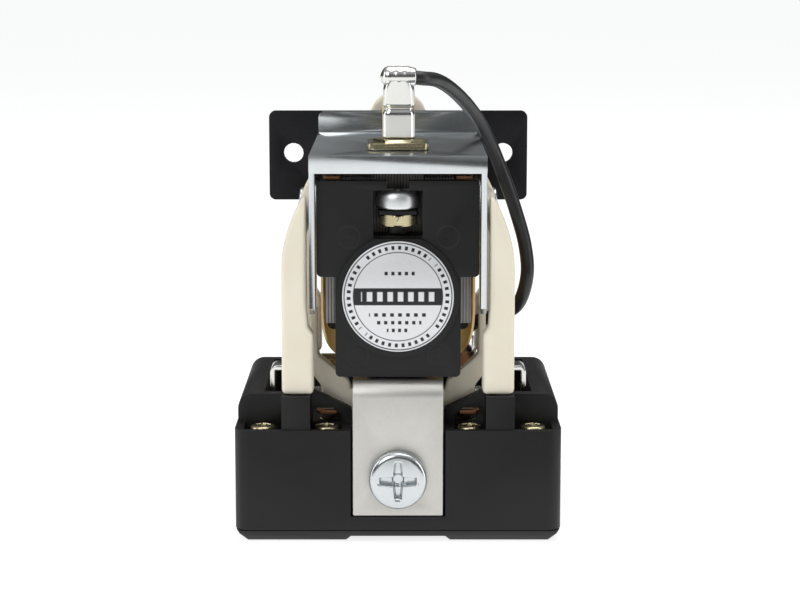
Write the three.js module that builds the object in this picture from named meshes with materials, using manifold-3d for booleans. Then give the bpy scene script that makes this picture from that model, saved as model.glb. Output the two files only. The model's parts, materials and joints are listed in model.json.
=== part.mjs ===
// An open-frame heavy-duty power relay on a moulded base, in millimetres, +Z up, front towards -Y.
// The origin is the middle of the whole object's footprint, on the surface that it stands on.
import * as THREE from 'three';
import { mergeVertices } from 'three/addons/utils/BufferGeometryUtils.js';
import Module from 'manifold-3d';

const wasm = await Module();
wasm.setup();

// ---------- Driving dimensions ----------
const seat = 0.2; // gap kept between two pieces that rest on each other
const holeGap = 0.3; // gap all round a shank in its hole
const sides = 16; // facets of a round piece
const fineSides = 36; // facets of a large round piece

// Moulded base
const baseWidth = 65.6;
const baseDepth = 58;
const baseCorner = 3;
const footHeight = 2.4;
const footInset = 2.3; // how far the foot plate draws in towards its underside
const footArch = 1;
const rimHeight = 23;
const rimWall = 1.8;
const blockWidth = 5.6; // raised side blocks
const blockHeight = 28.9;
const blockCorner = 3;
const wellFloor = 19.4;
const wellDepth = 6.6;
const innerWellWidth = 6.3;
const partition = 1.8; // between the middle recess and the inner well
const webThickness = 2.6;
const webTop = 29.8;
const webLow = 25.8;
const postWidth = 5.7;
const postHeight = 29.8;
const windowWidth = 5.8;
const windowTop = 26;

// Steel frame: front strap with the web under the coil, and the rear yoke
const strapWidth = 18.1;
const strapThickness = 3.1;
const strapBottom = 5.6;
const strapInset = 0.1; // how far the strap lies behind the base's face
const recessGap = 0.45;
const webUnderside = 29.6; // underside of the strap's horizontal web
const strapScrewHeight = 13.2;
const strapHead = { radius: 5.9, height: 2.6, shank: 2.9, length: 12 };

// Magnet core, coil and front cover
const coilHeight = 49.8; // height of the coil's axis
const coreHalf = 6; // half the core bar's side
const poleHalf = 14.6;
const poleDepth = 7.6;
const poleTop = 73.2;
const rearPoleDepth = 8.5;
const rearPoleTop = 74.6;
const ringRise = 0.2; // how far a shading ring stands over its pole
const ringHeight = 1.6;
const ringWall = 0.9;
const ringLength = 2.6; // outside size of a shading ring across the pole
const bobbinWall = 1.5;
const bobbinFlange = 1.5;
const bobbinHalfWidth = 14.4;
const bobbinHalfHeight = 8.5;
const windingHalf = 16;
const windingCorner = 6;
const coverThickness = 2.5;
const coverBottom = 33.4;
const coverStep = 53.6;
const coverTop = 72.8;
const coverGap = 0.3; // between the cover's sides and the cap's front straps
const coverLowerHalf = 12.5;
const coverCorner = 1;
const coverSetback = 3; // from the base's front face back to the cover's
const bossRadius = 12.3;
const bossHeight = 0.8;
const labelRadius = 11.1;
const labelThickness = 0.25;
const pocketHalf = 4.9;
const pocketBottom = 61.3;
const pocketTop = 70.9;
const throatHalf = 2.2;
const clampHead = { radius: 4.4, height: 3.8, shank: 1.8, length: 5 };
const clampTabHeight = 66;
const clampTabThickness = 0.8;
const clampNut = { across: 7.6, height: 2.2 };

// Armature: sheet cap, iron bar, top terminal
const capHalf = 17.6;
const sheet = 1.1;
const capTop = 77.9;
const lipBottom = 74.4;
const lipSetback = 1; // from the base's front face back to the lip
const capFlangeBottom = 46.2;
const capStrapLength = 13; // front to back size of the cap's long front straps
const capSideBottom = 58;
const upstandTop = 82.6;
const barThickness = 1.5;
const barHalf = 14.9;
const pivotHeight = 63.5;
const pivotShank = 1.5;
const pivotHead = 2.7;
const terminalBack = 18.5; // from the base's front face back to the top terminal
const hexFlange = { side: 12.4, height: 1.2, corner: 1.4 };
const hexBody = { across: 9, height: 0.6 };
const tab = { width: 6.35, thickness: 0.8, height: 8.4 };
const receptacle = { width: 7.4, depth: 3, lift: 0.5, height: 10.2, slotGap: 0.2 };
const barrelRadius = 2.2;
const barrelLength = 6.4;

// Rear plate and return spring
const plateWidth = 57.2;
const plateBottom = 62.9;
const plateTop = 82.6;
const plateThickness = 2;
const plateCorner = 1.4;
const plateFacets = 9; // facets in a quarter or half turn of the plate's outline
const plateHoleRadius = 2.2;
const plateHoleSpacing = 46.4;
const plateHoleHeight = 73.3;
const plateWaist = 3; // how far the plate's middle is cut up behind the coil
const plateScrew = { radius: 2.9, height: 2, shank: 1.6, length: 4.4, spacing: 11, seatHeight: 68 };
const studHeight = 80.3;
const studRadius = 1.3;
const studHeadRadius = 2.2;
const springLength = 4.2;
const springRadius = 3;
const springWire = 0.9;
const springTurns = 3;
const cup = { radius: 6.4, thickness: 2.2 };
const studNut = { across: 5.5, height: 1.8 };

// Nylon leg frames and the moving contact carrier
const legInner = 18.2;
const legOuter = 23.3;
const legFootInner = 16.9;
const legDepth = 5.8;
const legBend = 54.6;
const legTop = 69.4;
const legTopWidth = 0.9;
const legFootTop = 42.4;
const footRound = 0.8;
const railWidth = 2.2;
const railBottom = 61;
const railTop = 67;
const peg = { width: 2.6, depth: 2.6, length: 5 };
const carrierThickness = 3.3;
const carrierArmOuter = 17.8;
const carrierArmWidth = 1.4;
const carrierBottom = 25;
const carrierBeam = 4.2;
const carrierShoulder = 34.2;
const carrierElbow = 36.6;
const carrierFoot = { inner: 12, width: 3.6 };

// Contacts and terminals
const strip = 1; // thickness of the terminal strips
const screwHead = { radius: 2.8, height: 2.7, shank: 1.4, length: 4 };
const bladeThickness = 0.8;
const bladeHeight = 24;
const bladeInner = 12;
const bladeWidth = 4.6;
const bladeTail = 2;
const rootGap = 0.3; // between the blade's tail and the coil tab
const contactRadius = 1.9;
const contactShank = 1;
const contactHead = 0.8;
const contactTravel = 1.12; // how far the contacts may come down before they touch
const hookHeight = 33.4;
const hookWidth = 3.9;
const hookDepth = 6;
const hookGap = 0.4; // between the carrier and the upper contact strips
const coilTab = { width: 4.8, height: 30.4, setback: 2.1 };
const plug = { width: 6, depth: 2.6, bottom: 25.8, roof: 0.8, barrel: 2.8 };

// Lead
const leadRadius = 1.45;
const leadSides = 8;
const leadSteps = 44;

// ---------- Worked-out places ----------
const baseHalf = baseWidth / 2;
const front = -baseDepth / 2;
const back = baseDepth / 2;
const recessHalf = strapWidth / 2 + recessGap;
const wellInner = recessHalf + partition;
const postInner = wellInner + innerWellWidth;
const postOuter = postInner + postWidth;
const wellEnd = baseHalf - rimWall;
const blockInner = baseHalf - blockWidth;
const wellFront = back - rimWall;
const webOuter = wellFront - wellDepth;
const webInner = webOuter - webThickness;
const terminalY = (wellFront + webOuter) / 2;
const innerTerminalX = (wellInner + postInner) / 2;
const outerTerminalX = (postOuter + wellEnd) / 2;
const strapFront = front + strapInset;
const strapBack = strapFront + strapThickness;
const yokeFront = back - strapInset - strapThickness;
const yokeBack = back - strapInset;
const coverFront = front + coverSetback;
const coverBack = coverFront + coverThickness;
const poleFront = coverBack + 0.3;
const poleBack = poleFront + poleDepth;
const rearPoleBack = yokeFront - seat;
const rearPoleFront = rearPoleBack - rearPoleDepth;
const bobbinFront = poleBack + seat;
const bobbinBack = rearPoleFront - seat;
const clampY = coverFront + clampHead.radius;
const lipFront = front + lipSetback;
const capInner = capHalf - sheet;
const coverHalf = capInner - coverGap;
const roofUnder = capTop - sheet;
const barTop = roofUnder - seat;
const barBottom = barTop - barThickness;
const barFront = coverFront + 0.6;
const upstandBack = yokeBack;
const upstandFront = upstandBack - sheet;
const capBack = upstandFront - 0.6;
const plateFront = yokeBack + seat;
const plateBack = plateFront + plateThickness;
const legFront = wellFront - 0.1;
const legBack = legFront - legDepth;
const pivotY = (legFront + legBack) / 2;
const pivotSeat = legInner + railWidth + 0.3;
const terminalTopY = front + terminalBack;
const springBack = plateBack + seat + springLength;
const cupFront = springBack + seat;
const cupBack = cupFront + cup.thickness;
const nutFront = cupBack + seat;
const studEnd = nutFront + studNut.height + 0.6;
const stripTop = wellFloor + seat / 2 + strip;
const stripBottom = wellFloor + seat / 2;
const headSeat = stripTop + seat;
const coilTabY = webInner - coilTab.setback;
const carrierFront = -webInner + 0.3;
const carrierBack = carrierFront + carrierThickness;
const contactBack = -carrierBack - hookGap - hookDepth / 2;
const bladeRoot = coilTabY - rootGap - bladeTail;
const contactX = bladeInner + bladeWidth / 2;
const bladeTop = bladeHeight + bladeThickness;
const movingTop = bladeTop + seat + contactHead;
const movingBottom = bladeHeight - seat - contactHead;
const ncUnder = movingTop + seat + contactHead + seat;
const noTop = movingBottom - contactTravel;
const hookX = blockInner - 0.9;
const flangeTop = capTop + seat;
const hexTop = flangeTop + hexFlange.height;
const bodyTop = hexTop + hexBody.height;
const tabTop = bodyTop + tab.height;
const receptacleBottom = bodyTop + receptacle.lift;
const receptacleTop = receptacleBottom + receptacle.height;
const barrelHeight = receptacleTop + barrelRadius - 0.4;
const barrelLeft = -receptacle.width / 2 + 0.8;
const barrelRight = barrelLeft + barrelLength;
const plugY = coilTabY + strip / 2;
const plugSleeveTop = coilTab.height + holeGap + plug.roof;
const plugTop = plugSleeveTop + plug.barrel;

// ---------- Colours ----------
const finish = {
  moulding: { color: 0x2a2a2b, roughness: 0.62, metalness: 0 },
  nylon: { color: 0xe9e3d0, roughness: 0.45, metalness: 0 },
  zinc: { color: 0xcdcbc4, roughness: 0.5, metalness: 0.9 },
  bright: { color: 0xc9ced4, roughness: 0.25, metalness: 1 },
  blackened: { color: 0x1d1d1f, roughness: 0.5, metalness: 0.4 },
  iron: { color: 0x6d6d70, roughness: 0.55, metalness: 0.8 },
  copper: { color: 0xa8673f, roughness: 0.4, metalness: 0.9 },
  brass: { color: 0xb59a5e, roughness: 0.35, metalness: 0.9 },
  silver: { color: 0xd8d8d6, roughness: 0.25, metalness: 1 },
  winding: { color: 0x8a5a33, roughness: 0.6, metalness: 0.1 },
  label: { color: 0xdedfe0, roughness: 0.4, metalness: 0.3 },
  spring: { color: 0x9b9ea3, roughness: 0.3, metalness: 1 },
  lead: { color: 0x141414, roughness: 0.45, metalness: 0 },
};

function material(name) {
  return new THREE.MeshStandardMaterial(finish[name]);
}

// ---------- Solids ----------
// A closed geometry as a solid that can be joined and cut.
function solid(geometry) {
  const bare = geometry.clone();
  bare.deleteAttribute('normal');
  bare.deleteAttribute('uv');
  const merged = mergeVertices(bare, 1e-5);
  return new wasm.Manifold(new wasm.Mesh({
    numProp: 3,
    vertProperties: Float32Array.from(merged.attributes.position.array),
    triVerts: Uint32Array.from(merged.index.array),
  }));
}

// A solid as a geometry.
function surface(body) {
  const mesh = body.getMesh();
  const geometry = new THREE.BufferGeometry();
  geometry.setAttribute('position', new THREE.BufferAttribute(mesh.vertProperties, 3));
  geometry.setIndex(new THREE.BufferAttribute(mesh.triVerts, 1));
  geometry.computeVertexNormals();
  return geometry;
}

// The first geometry with the second list joined on and the third list cut away.
function shaped(first, joined, cut = []) {
  let body = solid(first);
  for (const piece of joined) body = body.add(solid(piece));
  for (const piece of cut) body = body.subtract(solid(piece));
  return surface(body);
}

// A block between two values on each axis.
function block(x0, x1, y0, y1, z0, z1) {
  const geometry = new THREE.BoxGeometry(x1 - x0, y1 - y0, z1 - z0);
  return geometry.translate((x0 + x1) / 2, (y0 + y1) / 2, (z0 + z1) / 2);
}

// A cylinder along an axis between two values, at two places on the other axes in x, y, z order.
function rod(axis, radius, from, to, u, v, facets = sides) {
  const geometry = new THREE.CylinderGeometry(radius, radius, to - from, facets);
  const middle = (from + to) / 2;
  if (axis === 'x') return geometry.rotateZ(-Math.PI / 2).translate(middle, u, v);
  if (axis === 'y') return geometry.translate(u, middle, v);
  return geometry.rotateX(Math.PI / 2).translate(u, v, middle);
}

// An outline drawn in X and Z, made solid between two values of Y.
function slabY(shape, y0, y1, curveSegments = 4) {
  const geometry = new THREE.ExtrudeGeometry(shape, { depth: y1 - y0, bevelEnabled: false, curveSegments });
  return geometry.rotateX(Math.PI / 2).translate(0, y1, 0);
}

// An outline drawn in X and Y, made solid between two values of Z.
function slabZ(shape, z0, z1) {
  const geometry = new THREE.ExtrudeGeometry(shape, { depth: z1 - z0, bevelEnabled: false, curveSegments: 4 });
  return geometry.translate(0, 0, z0);
}

// An outline drawn in Y and Z, made solid between two values of X.
function slabX(shape, x0, x1) {
  const geometry = new THREE.ExtrudeGeometry(shape, { depth: x1 - x0, bevelEnabled: false, curveSegments: 4 });
  const turn = new THREE.Matrix4().makeBasis(
    new THREE.Vector3(0, 1, 0), new THREE.Vector3(0, 0, 1), new THREE.Vector3(1, 0, 0));
  return geometry.applyMatrix4(turn).translate(x0, 0, 0);
}

// The same geometry on the other side of the middle plane of X or Y.
function mirrored(geometry, axis) {
  const copy = geometry.index ? geometry.toNonIndexed() : geometry.clone();
  copy.scale(axis === 'x' ? -1 : 1, axis === 'y' ? -1 : 1, 1);
  const points = copy.attributes.position;
  for (let i = 0; i < points.count; i += 3) {
    const second = new THREE.Vector3().fromBufferAttribute(points, i + 1);
    const third = new THREE.Vector3().fromBufferAttribute(points, i + 2);
    points.setXYZ(i + 1, third.x, third.y, third.z);
    points.setXYZ(i + 2, second.x, second.y, second.z);
  }
  return copy;
}

function outline(points) {
  return new THREE.Shape(points.map(([x, y]) => new THREE.Vector2(x, y)));
}

// A rectangle with four round corners, between two values on each of its axes.
function rounded(x0, x1, y0, y1, r) {
  const shape = new THREE.Shape();
  shape.moveTo(x0 + r, y0);
  shape.lineTo(x1 - r, y0);
  shape.absarc(x1 - r, y0 + r, r, -Math.PI / 2, 0);
  shape.lineTo(x1, y1 - r);
  shape.absarc(x1 - r, y1 - r, r, 0, Math.PI / 2);
  shape.lineTo(x0 + r, y1);
  shape.absarc(x0 + r, y1 - r, r, Math.PI / 2, Math.PI);
  shape.lineTo(x0, y0 + r);
  shape.absarc(x0 + r, y0 + r, r, Math.PI, Math.PI * 1.5);
  return shape;
}

// A regular hexagon measured across its flats, flats towards the second axis.
function hexagon(across, x, y) {
  const points = [];
  for (let i = 0; i < 6; i += 1) {
    const angle = (i * Math.PI) / 3;
    const reach = across / Math.sqrt(3);
    points.push([x + reach * Math.cos(angle), y + reach * Math.sin(angle)]);
  }
  return outline(points);
}

// A round hole in an outline.
function hole(shape, x, y, radius) {
  const path = new THREE.Path();
  path.absarc(x, y, radius, 0, Math.PI * 2, true);
  shape.holes.push(path);
  return shape;
}

// A pan-head screw along +Z, its head seated at 0 and its cross recess in the head's top.
function panScrew({ radius, height, shank, length }) {
  const profile = [
    [0, -length], [shank, -length], [shank, 0], [radius, 0], [radius, height * 0.45],
    [radius * 0.9, height * 0.8], [radius * 0.62, height], [0, height],
  ];
  const lathe = new THREE.LatheGeometry(profile.map(([r, z]) => new THREE.Vector2(r, z)), sides);
  lathe.rotateX(Math.PI / 2);
  const half = radius * 0.58;
  const slot = radius * 0.13;
  const floor = height * 0.3;
  const cuts = [
    block(-half, half, -slot, slot, floor, height + 1),
    block(-slot, slot, -half, half, floor, height + 1),
  ];
  return shaped(lathe, [], cuts);
}

// A contact rivet along +Z from its lower face to its upper face, with a waist between two heights.
function rivet(bottom, waistLow, waistHigh, top) {
  const profile = [[0, bottom]];
  if (waistLow > bottom) profile.push([contactRadius, bottom], [contactRadius, waistLow]);
  profile.push([contactShank, Math.max(waistLow, bottom)], [contactShank, Math.min(waistHigh, top)]);
  if (top > waistHigh) profile.push([contactRadius, waistHigh], [contactRadius, top]);
  profile.push([0, top]);
  const lathe = new THREE.LatheGeometry(profile.map(([r, z]) => new THREE.Vector2(r, z)), sides);
  return lathe.rotateX(Math.PI / 2);
}

// ---------- Base ----------
function baseWell(x0, x1) {
  return block(x0, x1, -wellFront, -webOuter, wellFloor, postHeight + 5);
}

// One raised side block, drawn across the front, with its outer top edge rounded.
function sideBlock() {
  const shape = new THREE.Shape();
  shape.moveTo(blockInner, rimHeight - 1);
  shape.lineTo(baseHalf - 0.3, rimHeight - 1);
  shape.lineTo(baseHalf - 0.3, blockHeight - blockCorner);
  shape.absarc(baseHalf - 0.3 - blockCorner, blockHeight - blockCorner, blockCorner, 0, Math.PI / 2);
  shape.lineTo(blockInner, blockHeight);
  return slabY(shape, -webOuter, webOuter);
}

// The wall behind the front wells: level beside the post, then falling towards the middle.
function webWall() {
  return slabY(outline([
    [recessHalf, wellFloor - 1], [blockInner + 1, wellFloor - 1], [blockInner + 1, blockHeight],
    [postOuter, blockHeight], [postOuter, webTop], [postInner, webTop], [recessHalf, webLow],
  ]), -webOuter, -webInner);
}

// The low window in the wall, with its outer upper corner cut.
function webWindow() {
  const x0 = innerTerminalX - windowWidth / 2;
  const x1 = innerTerminalX + windowWidth / 2;
  return slabY(outline([
    [x0, rimHeight], [x1, rimHeight], [x1, windowTop], [x0 + 1.6, windowTop], [x0, windowTop - 1.6],
  ]), -webOuter - 1, -webInner + 1);
}

function frontPost() {
  return block(postInner, postOuter, front + 0.6, -webOuter + 0.5, wellFloor - 1, postHeight);
}

function pegHole() {
  const x = (legInner + legOuter) / 2;
  const halfX = peg.width / 2 + holeGap;
  const halfY = peg.depth / 2 + holeGap;
  return block(x - halfX, x + halfX, -pivotY - halfY, -pivotY + halfY, postHeight - peg.length - 1, postHeight + 1);
}

// The slots under the wall that the terminal strips run through.
function stripSlots() {
  const top = stripTop + holeGap;
  return [
    block(wellInner, postInner, -webOuter - 1, -webInner + 1, wellFloor, top),
    block(postOuter, wellEnd, -webOuter - 1, -webInner + 1, wellFloor, top),
  ];
}

function terminalHoles() {
  const radius = screwHead.shank + holeGap;
  const low = headSeat - screwHead.length - 1;
  return [innerTerminalX, outerTerminalX].map((x) => rod('z', radius, low, wellFloor + 1, x, -terminalY));
}

function base() {
  const body = slabZ(rounded(-baseHalf, baseHalf, front, back, baseCorner), footHeight + seat, rimHeight);
  const quarterAdds = [webWall(), frontPost()];
  const quarterCuts = [
    baseWell(wellInner, postInner),
    baseWell(postOuter, wellEnd),
    webWindow(),
    pegHole(),
    ...stripSlots(),
    ...terminalHoles(),
  ];
  const chamber = block(recessHalf + 0.3, blockInner, -webInner, webInner, wellFloor, blockHeight + 5);
  const recess = block(-recessHalf, recessHalf, front - 1, strapBack + seat, strapBottom - seat, postHeight + 5);
  const holeEnd = strapFront + strapHead.length + 1;
  const screwHole = rod('y', strapHead.shank + holeGap, front - 1, holeEnd, 0, strapScrewHeight);
  const corners = (p) => [p, mirrored(p, 'x'), mirrored(p, 'y'), mirrored(mirrored(p, 'x'), 'y')];
  const all = (pieces) => pieces.flatMap(corners);
  const sideBlocks = [sideBlock(), mirrored(sideBlock(), 'x')];
  let solidBody = solid(body);
  for (const piece of sideBlocks) solidBody = solidBody.add(solid(piece));
  solidBody = solidBody.subtract(solid(chamber)).subtract(solid(mirrored(chamber, 'x')));
  const wells = all(quarterCuts.slice(0, 2));
  for (const piece of wells) solidBody = solidBody.subtract(solid(piece));
  for (const piece of all(quarterAdds)) solidBody = solidBody.add(solid(piece));
  for (const piece of all(quarterCuts.slice(2))) solidBody = solidBody.subtract(solid(piece));
  const middleCuts = [recess, mirrored(recess, 'y'), screwHole, mirrored(screwHole, 'y')];
  for (const piece of middleCuts) solidBody = solidBody.subtract(solid(piece));
  return surface(solidBody);
}

// The foot plate: its sides draw in towards the underside, which is arched along the middle.
function basePlate() {
  const half = baseHalf - 0.2;
  const shape = outline([
    [-half + footInset, 0], [-recessHalf - footArch, 0], [-recessHalf, footArch],
    [recessHalf, footArch], [recessHalf + footArch, 0], [half - footInset, 0],
    [half, footHeight], [-half, footHeight],
  ]);
  const side = slabY(shape, front + 0.2, back - 0.2);
  const depth = back - 0.2;
  const profile = outline([
    [-depth + footInset, -1], [depth - footInset, -1], [depth - footInset, 0], [depth, footHeight],
    [-depth, footHeight], [-depth + footInset, 0],
  ]);
  const along = slabX(profile, -baseHalf - 1, baseHalf + 1);
  const plan = slabZ(rounded(-baseHalf, baseHalf, front, back, baseCorner), -1, footHeight + 1);
  return surface(solid(side).intersect(solid(along)).intersect(solid(plan)));
}

// ---------- Steel frame ----------
function frontStrap() {
  const bend = strapThickness;
  const top = webUnderside + strapThickness;
  const shape = new THREE.Shape();
  shape.moveTo(strapFront, strapBottom);
  shape.lineTo(strapBack, strapBottom);
  shape.lineTo(strapBack, webUnderside);
  shape.lineTo(yokeFront - seat, webUnderside);
  shape.lineTo(yokeFront - seat, top);
  shape.lineTo(strapFront + bend, top);
  shape.absarc(strapFront + bend, top - bend, bend, Math.PI / 2, Math.PI);
  const body = slabX(shape, -strapWidth / 2, strapWidth / 2);
  const bore = rod('y', strapHead.shank + holeGap, strapFront - 1, strapBack + 1, 0, strapScrewHeight);
  return shaped(body, [], [bore]);
}

function rearYoke() {
  const shape = rounded(-strapWidth / 2, strapWidth / 2, strapBottom, rearPoleTop - 0.2, 1);
  hole(shape, 0, strapScrewHeight, strapHead.shank + holeGap);
  for (const side of [-1, 1]) {
    hole(shape, (side * plateScrew.spacing) / 2, plateScrew.seatHeight, plateScrew.shank + holeGap);
  }
  return slabY(shape, yokeFront, yokeBack);
}

// ---------- Magnet and coil ----------
function shadingRing() {
  const x1 = poleHalf + 0.4;
  const x0 = x1 - ringLength - ringWall;
  const y0 = poleFront + 0.1;
  const y1 = poleBack - 0.1;
  const shape = rounded(x0, x1, y0, y1, 0.3);
  const inner = new THREE.Path();
  const opening = [
    [x0 + ringWall, y0 + ringWall], [x0 + ringWall, y1 - ringWall],
    [x1 - ringWall, y1 - ringWall], [x1 - ringWall, y0 + ringWall],
  ];
  opening.forEach(([x, y], i) => (i ? inner.lineTo(x, y) : inner.moveTo(x, y)));
  inner.closePath();
  shape.holes.push(inner);
  return slabZ(shape, poleTop + ringRise - ringHeight, poleTop + ringRise);
}

// The room for a shading ring: the ring's own outline grown by its clearance on every side.
function ringRoom() {
  const x1 = poleHalf + 0.4;
  const x0 = x1 - ringLength - ringWall;
  const low = poleTop + ringRise - ringHeight - holeGap;
  const outer = block(x0 - holeGap, x1 + 1, poleFront - 1, poleBack + 1, low, poleTop + 1);
  const tooth = block(
    x0 + ringWall + holeGap, x1 - ringWall - holeGap,
    poleFront + ringWall + 0.1 + holeGap, poleBack - ringWall - 0.1 - holeGap, low - 1, poleTop + 2);
  return surface(solid(outer).subtract(solid(tooth)));
}

function core() {
  const bottom = coilHeight - coreHalf;
  const bar = block(-coreHalf, coreHalf, poleFront, rearPoleBack, bottom, coilHeight + coreHalf);
  const pole = block(-poleHalf, poleHalf, poleFront, poleBack, bottom, poleTop);
  const stand = block(-coreHalf, coreHalf, poleFront, poleBack, webUnderside + strapThickness + seat, bottom + 1);
  const rear = block(-strapWidth / 2, strapWidth / 2, rearPoleFront, rearPoleBack, bottom, rearPoleTop);
  const notch = block(
    -pocketHalf - 0.4, pocketHalf + 0.4, poleFront - 1, clampY + clampHead.radius + 0.6, pocketBottom, poleTop + 1);
  return shaped(bar, [pole, stand, rear], [notch, ringRoom(), mirrored(ringRoom(), 'x')]);
}

function bobbin() {
  const inner = coreHalf + 0.3;
  const outer = inner + bobbinWall;
  const tube = block(-outer, outer, bobbinFront, bobbinBack, coilHeight - outer, coilHeight + outer);
  const flange = rounded(
    -bobbinHalfWidth, bobbinHalfWidth, coilHeight - bobbinHalfHeight, coilHeight + bobbinHalfHeight, 1.2);
  const ends = [
    slabY(flange, bobbinFront, bobbinFront + bobbinFlange),
    slabY(flange, bobbinBack - bobbinFlange, bobbinBack),
  ];
  const bore = block(-inner, inner, bobbinFront - 1, bobbinBack + 1, coilHeight - inner, coilHeight + inner);
  return shaped(tube, ends, [bore]);
}

function winding() {
  const shape = rounded(-windingHalf, windingHalf, coilHeight - windingHalf, coilHeight + windingHalf, windingCorner);
  const body = slabY(shape, bobbinFront + bobbinFlange + seat, bobbinBack - bobbinFlange - seat);
  const inner = coreHalf + 0.3 + bobbinWall + 0.3;
  const bore = block(-inner, inner, bobbinFront, bobbinBack, coilHeight - inner, coilHeight + inner);
  return shaped(body, [], [bore]);
}

function frontCover() {
  const upper = slabY(rounded(-coverHalf, coverHalf, coverStep, coverTop, coverCorner), coverFront, coverBack);
  const lower = slabY(
    rounded(-coverLowerHalf, coverLowerHalf, coverBottom, coverStep + 4, coverCorner), coverFront, coverBack);
  const boss = rod('y', bossRadius, coverFront - bossHeight, coverBack, 0, coilHeight, fineSides);
  const pocket = block(-pocketHalf, pocketHalf, coverFront - 2, coverBack + 1, pocketBottom, pocketTop);
  const throat = block(-throatHalf, throatHalf, coverFront - 2, coverBack + 1, pocketTop - 1, coverTop + 1);
  return shaped(upper, [lower, boss], [pocket, throat]);
}

function label() {
  const face = coverFront - bossHeight - 0.05;
  return rod('y', labelRadius, face - labelThickness, face, 0, coilHeight, fineSides);
}

function clampTab() {
  const y1 = clampY + clampHead.radius + 0.4;
  const y0 = coverFront + 0.4;
  const shape = rounded(-pocketHalf + 0.9, pocketHalf - 0.9, y0, y1, 0.6);
  hole(shape, 0, clampY, clampHead.shank + holeGap);
  return slabZ(shape, clampTabHeight, clampTabHeight + clampTabThickness);
}

function hexNut({ across, height }, bore) {
  return slabZ(hole(hexagon(across, 0, 0), 0, 0, bore + holeGap), 0, height);
}

// ---------- Rear plate and return spring ----------
function rearPlate() {
  const half = plateWidth / 2;
  const waistHalf = capHalf + 1.6;
  const r = plateCorner;
  const shape = new THREE.Shape();
  shape.moveTo(-half + r, plateBottom);
  shape.lineTo(-waistHalf - plateWaist, plateBottom);
  shape.lineTo(-waistHalf, plateBottom + plateWaist);
  shape.lineTo(waistHalf, plateBottom + plateWaist);
  shape.lineTo(waistHalf + plateWaist, plateBottom);
  shape.lineTo(half - r, plateBottom);
  shape.absarc(half - r, plateBottom + r, r, -Math.PI / 2, 0);
  shape.lineTo(half, plateTop - r);
  shape.absarc(half - r, plateTop - r, r, 0, Math.PI / 2);
  shape.lineTo(-half + r, plateTop);
  shape.absarc(-half + r, plateTop - r, r, Math.PI / 2, Math.PI);
  shape.lineTo(-half, plateBottom + r);
  shape.absarc(-half + r, plateBottom + r, r, Math.PI, Math.PI * 1.5);
  for (const side of [-1, 1]) {
    hole(shape, (side * plateHoleSpacing) / 2, plateHoleHeight, plateHoleRadius);
    hole(shape, (side * plateScrew.spacing) / 2, plateScrew.seatHeight, plateScrew.shank + holeGap);
  }
  const plate = slabY(shape, plateFront, plateBack, plateFacets);
  const passage = rod('y', studRadius + 0.7, plateFront - 1, plateBack + 1, 0, studHeight);
  return shaped(plate, [], [passage]);
}

// The stud through the cap's upstand, with a low round head in front of it.
function returnStud() {
  const headFront = upstandFront - seat - 1;
  const shank = rod('y', studRadius, headFront + 0.5, studEnd, 0, studHeight);
  const head = rod('y', studHeadRadius, headFront, upstandFront - seat, 0, studHeight);
  return shaped(shank, [head]);
}

// A compression spring round the stud, as a helix whose ends stay between the plate and the cup.
function returnSpring() {
  class Helix extends THREE.Curve {
    getPoint(t, target = new THREE.Vector3()) {
      const angle = t * springTurns * Math.PI * 2;
      const y = plateBack + seat + springWire / 2 + t * (springLength - springWire);
      return target.set(springRadius * Math.cos(angle), y, studHeight + springRadius * Math.sin(angle));
    }
  }
  const section = new THREE.Shape();
  section.absarc(0, 0, springWire / 2, 0, Math.PI * 2);
  return new THREE.ExtrudeGeometry(section, {
    steps: springTurns * 14, extrudePath: new Helix(), bevelEnabled: false, curveSegments: 3,
  });
}

function springCup() {
  const disc = rod('y', cup.radius, cupFront, cupBack, 0, studHeight, fineSides);
  const bore = rod('y', studRadius + holeGap, cupFront - 1, cupBack + 1, 0, studHeight);
  const dish = rod('y', cup.radius - 1.6, cupBack - 0.7, cupBack + 1, 0, studHeight, fineSides);
  return shaped(disc, [], [bore, dish]);
}

function springNut() {
  const nutY = cupBack - 0.7 + seat;
  return slabY(hole(hexagon(studNut.across, 0, studHeight), 0, studHeight, studRadius + holeGap), nutY, nutY + studNut.height);
}

// ---------- Nylon leg frames ----------
// One leg seen from the front: a flat foot, a straight outer side and a shoulder curving in at the top.
function legOutline() {
  const shape = new THREE.Shape();
  const foot = postHeight + seat;
  shape.moveTo(legFootInner + footRound, foot);
  shape.lineTo(legOuter - footRound, foot);
  shape.absarc(legOuter - footRound, foot + footRound, footRound, -Math.PI / 2, 0);
  shape.lineTo(legOuter, legBend);
  shape.bezierCurveTo(
    legOuter, legBend + 6, legInner + legTopWidth + 2.2, legTop - 4, legInner + legTopWidth, legTop);
  shape.lineTo(legInner, legTop);
  shape.lineTo(legInner, legFootTop + 1);
  shape.lineTo(legFootInner, legFootTop);
  shape.lineTo(legFootInner, foot + footRound);
  shape.absarc(legFootInner + footRound, foot + footRound, footRound, Math.PI, Math.PI * 1.5);
  return shape;
}

function legFrame() {
  const leg = slabY(legOutline(), legBack, legFront);
  const rail = slabX(rounded(-legBack - 1, legBack + 1, railBottom, railTop, 0.8), legInner, legInner + railWidth);
  const x = (legInner + legOuter) / 2;
  const pin = block(
    x - peg.width / 2, x + peg.width / 2, pivotY - peg.depth / 2, pivotY + peg.depth / 2,
    postHeight + seat - peg.length, postHeight + 1);
  const bore = rod('x', pivotShank + holeGap, legInner - 2, legOuter + 2, pivotY, pivotHeight);
  const counterbore = rod('x', pivotHead + holeGap, pivotSeat, legOuter + 2, pivotY, pivotHeight);
  return shaped(leg, [mirrored(leg, 'y'), rail, pin, mirrored(pin, 'y')], [bore, counterbore]);
}

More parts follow.
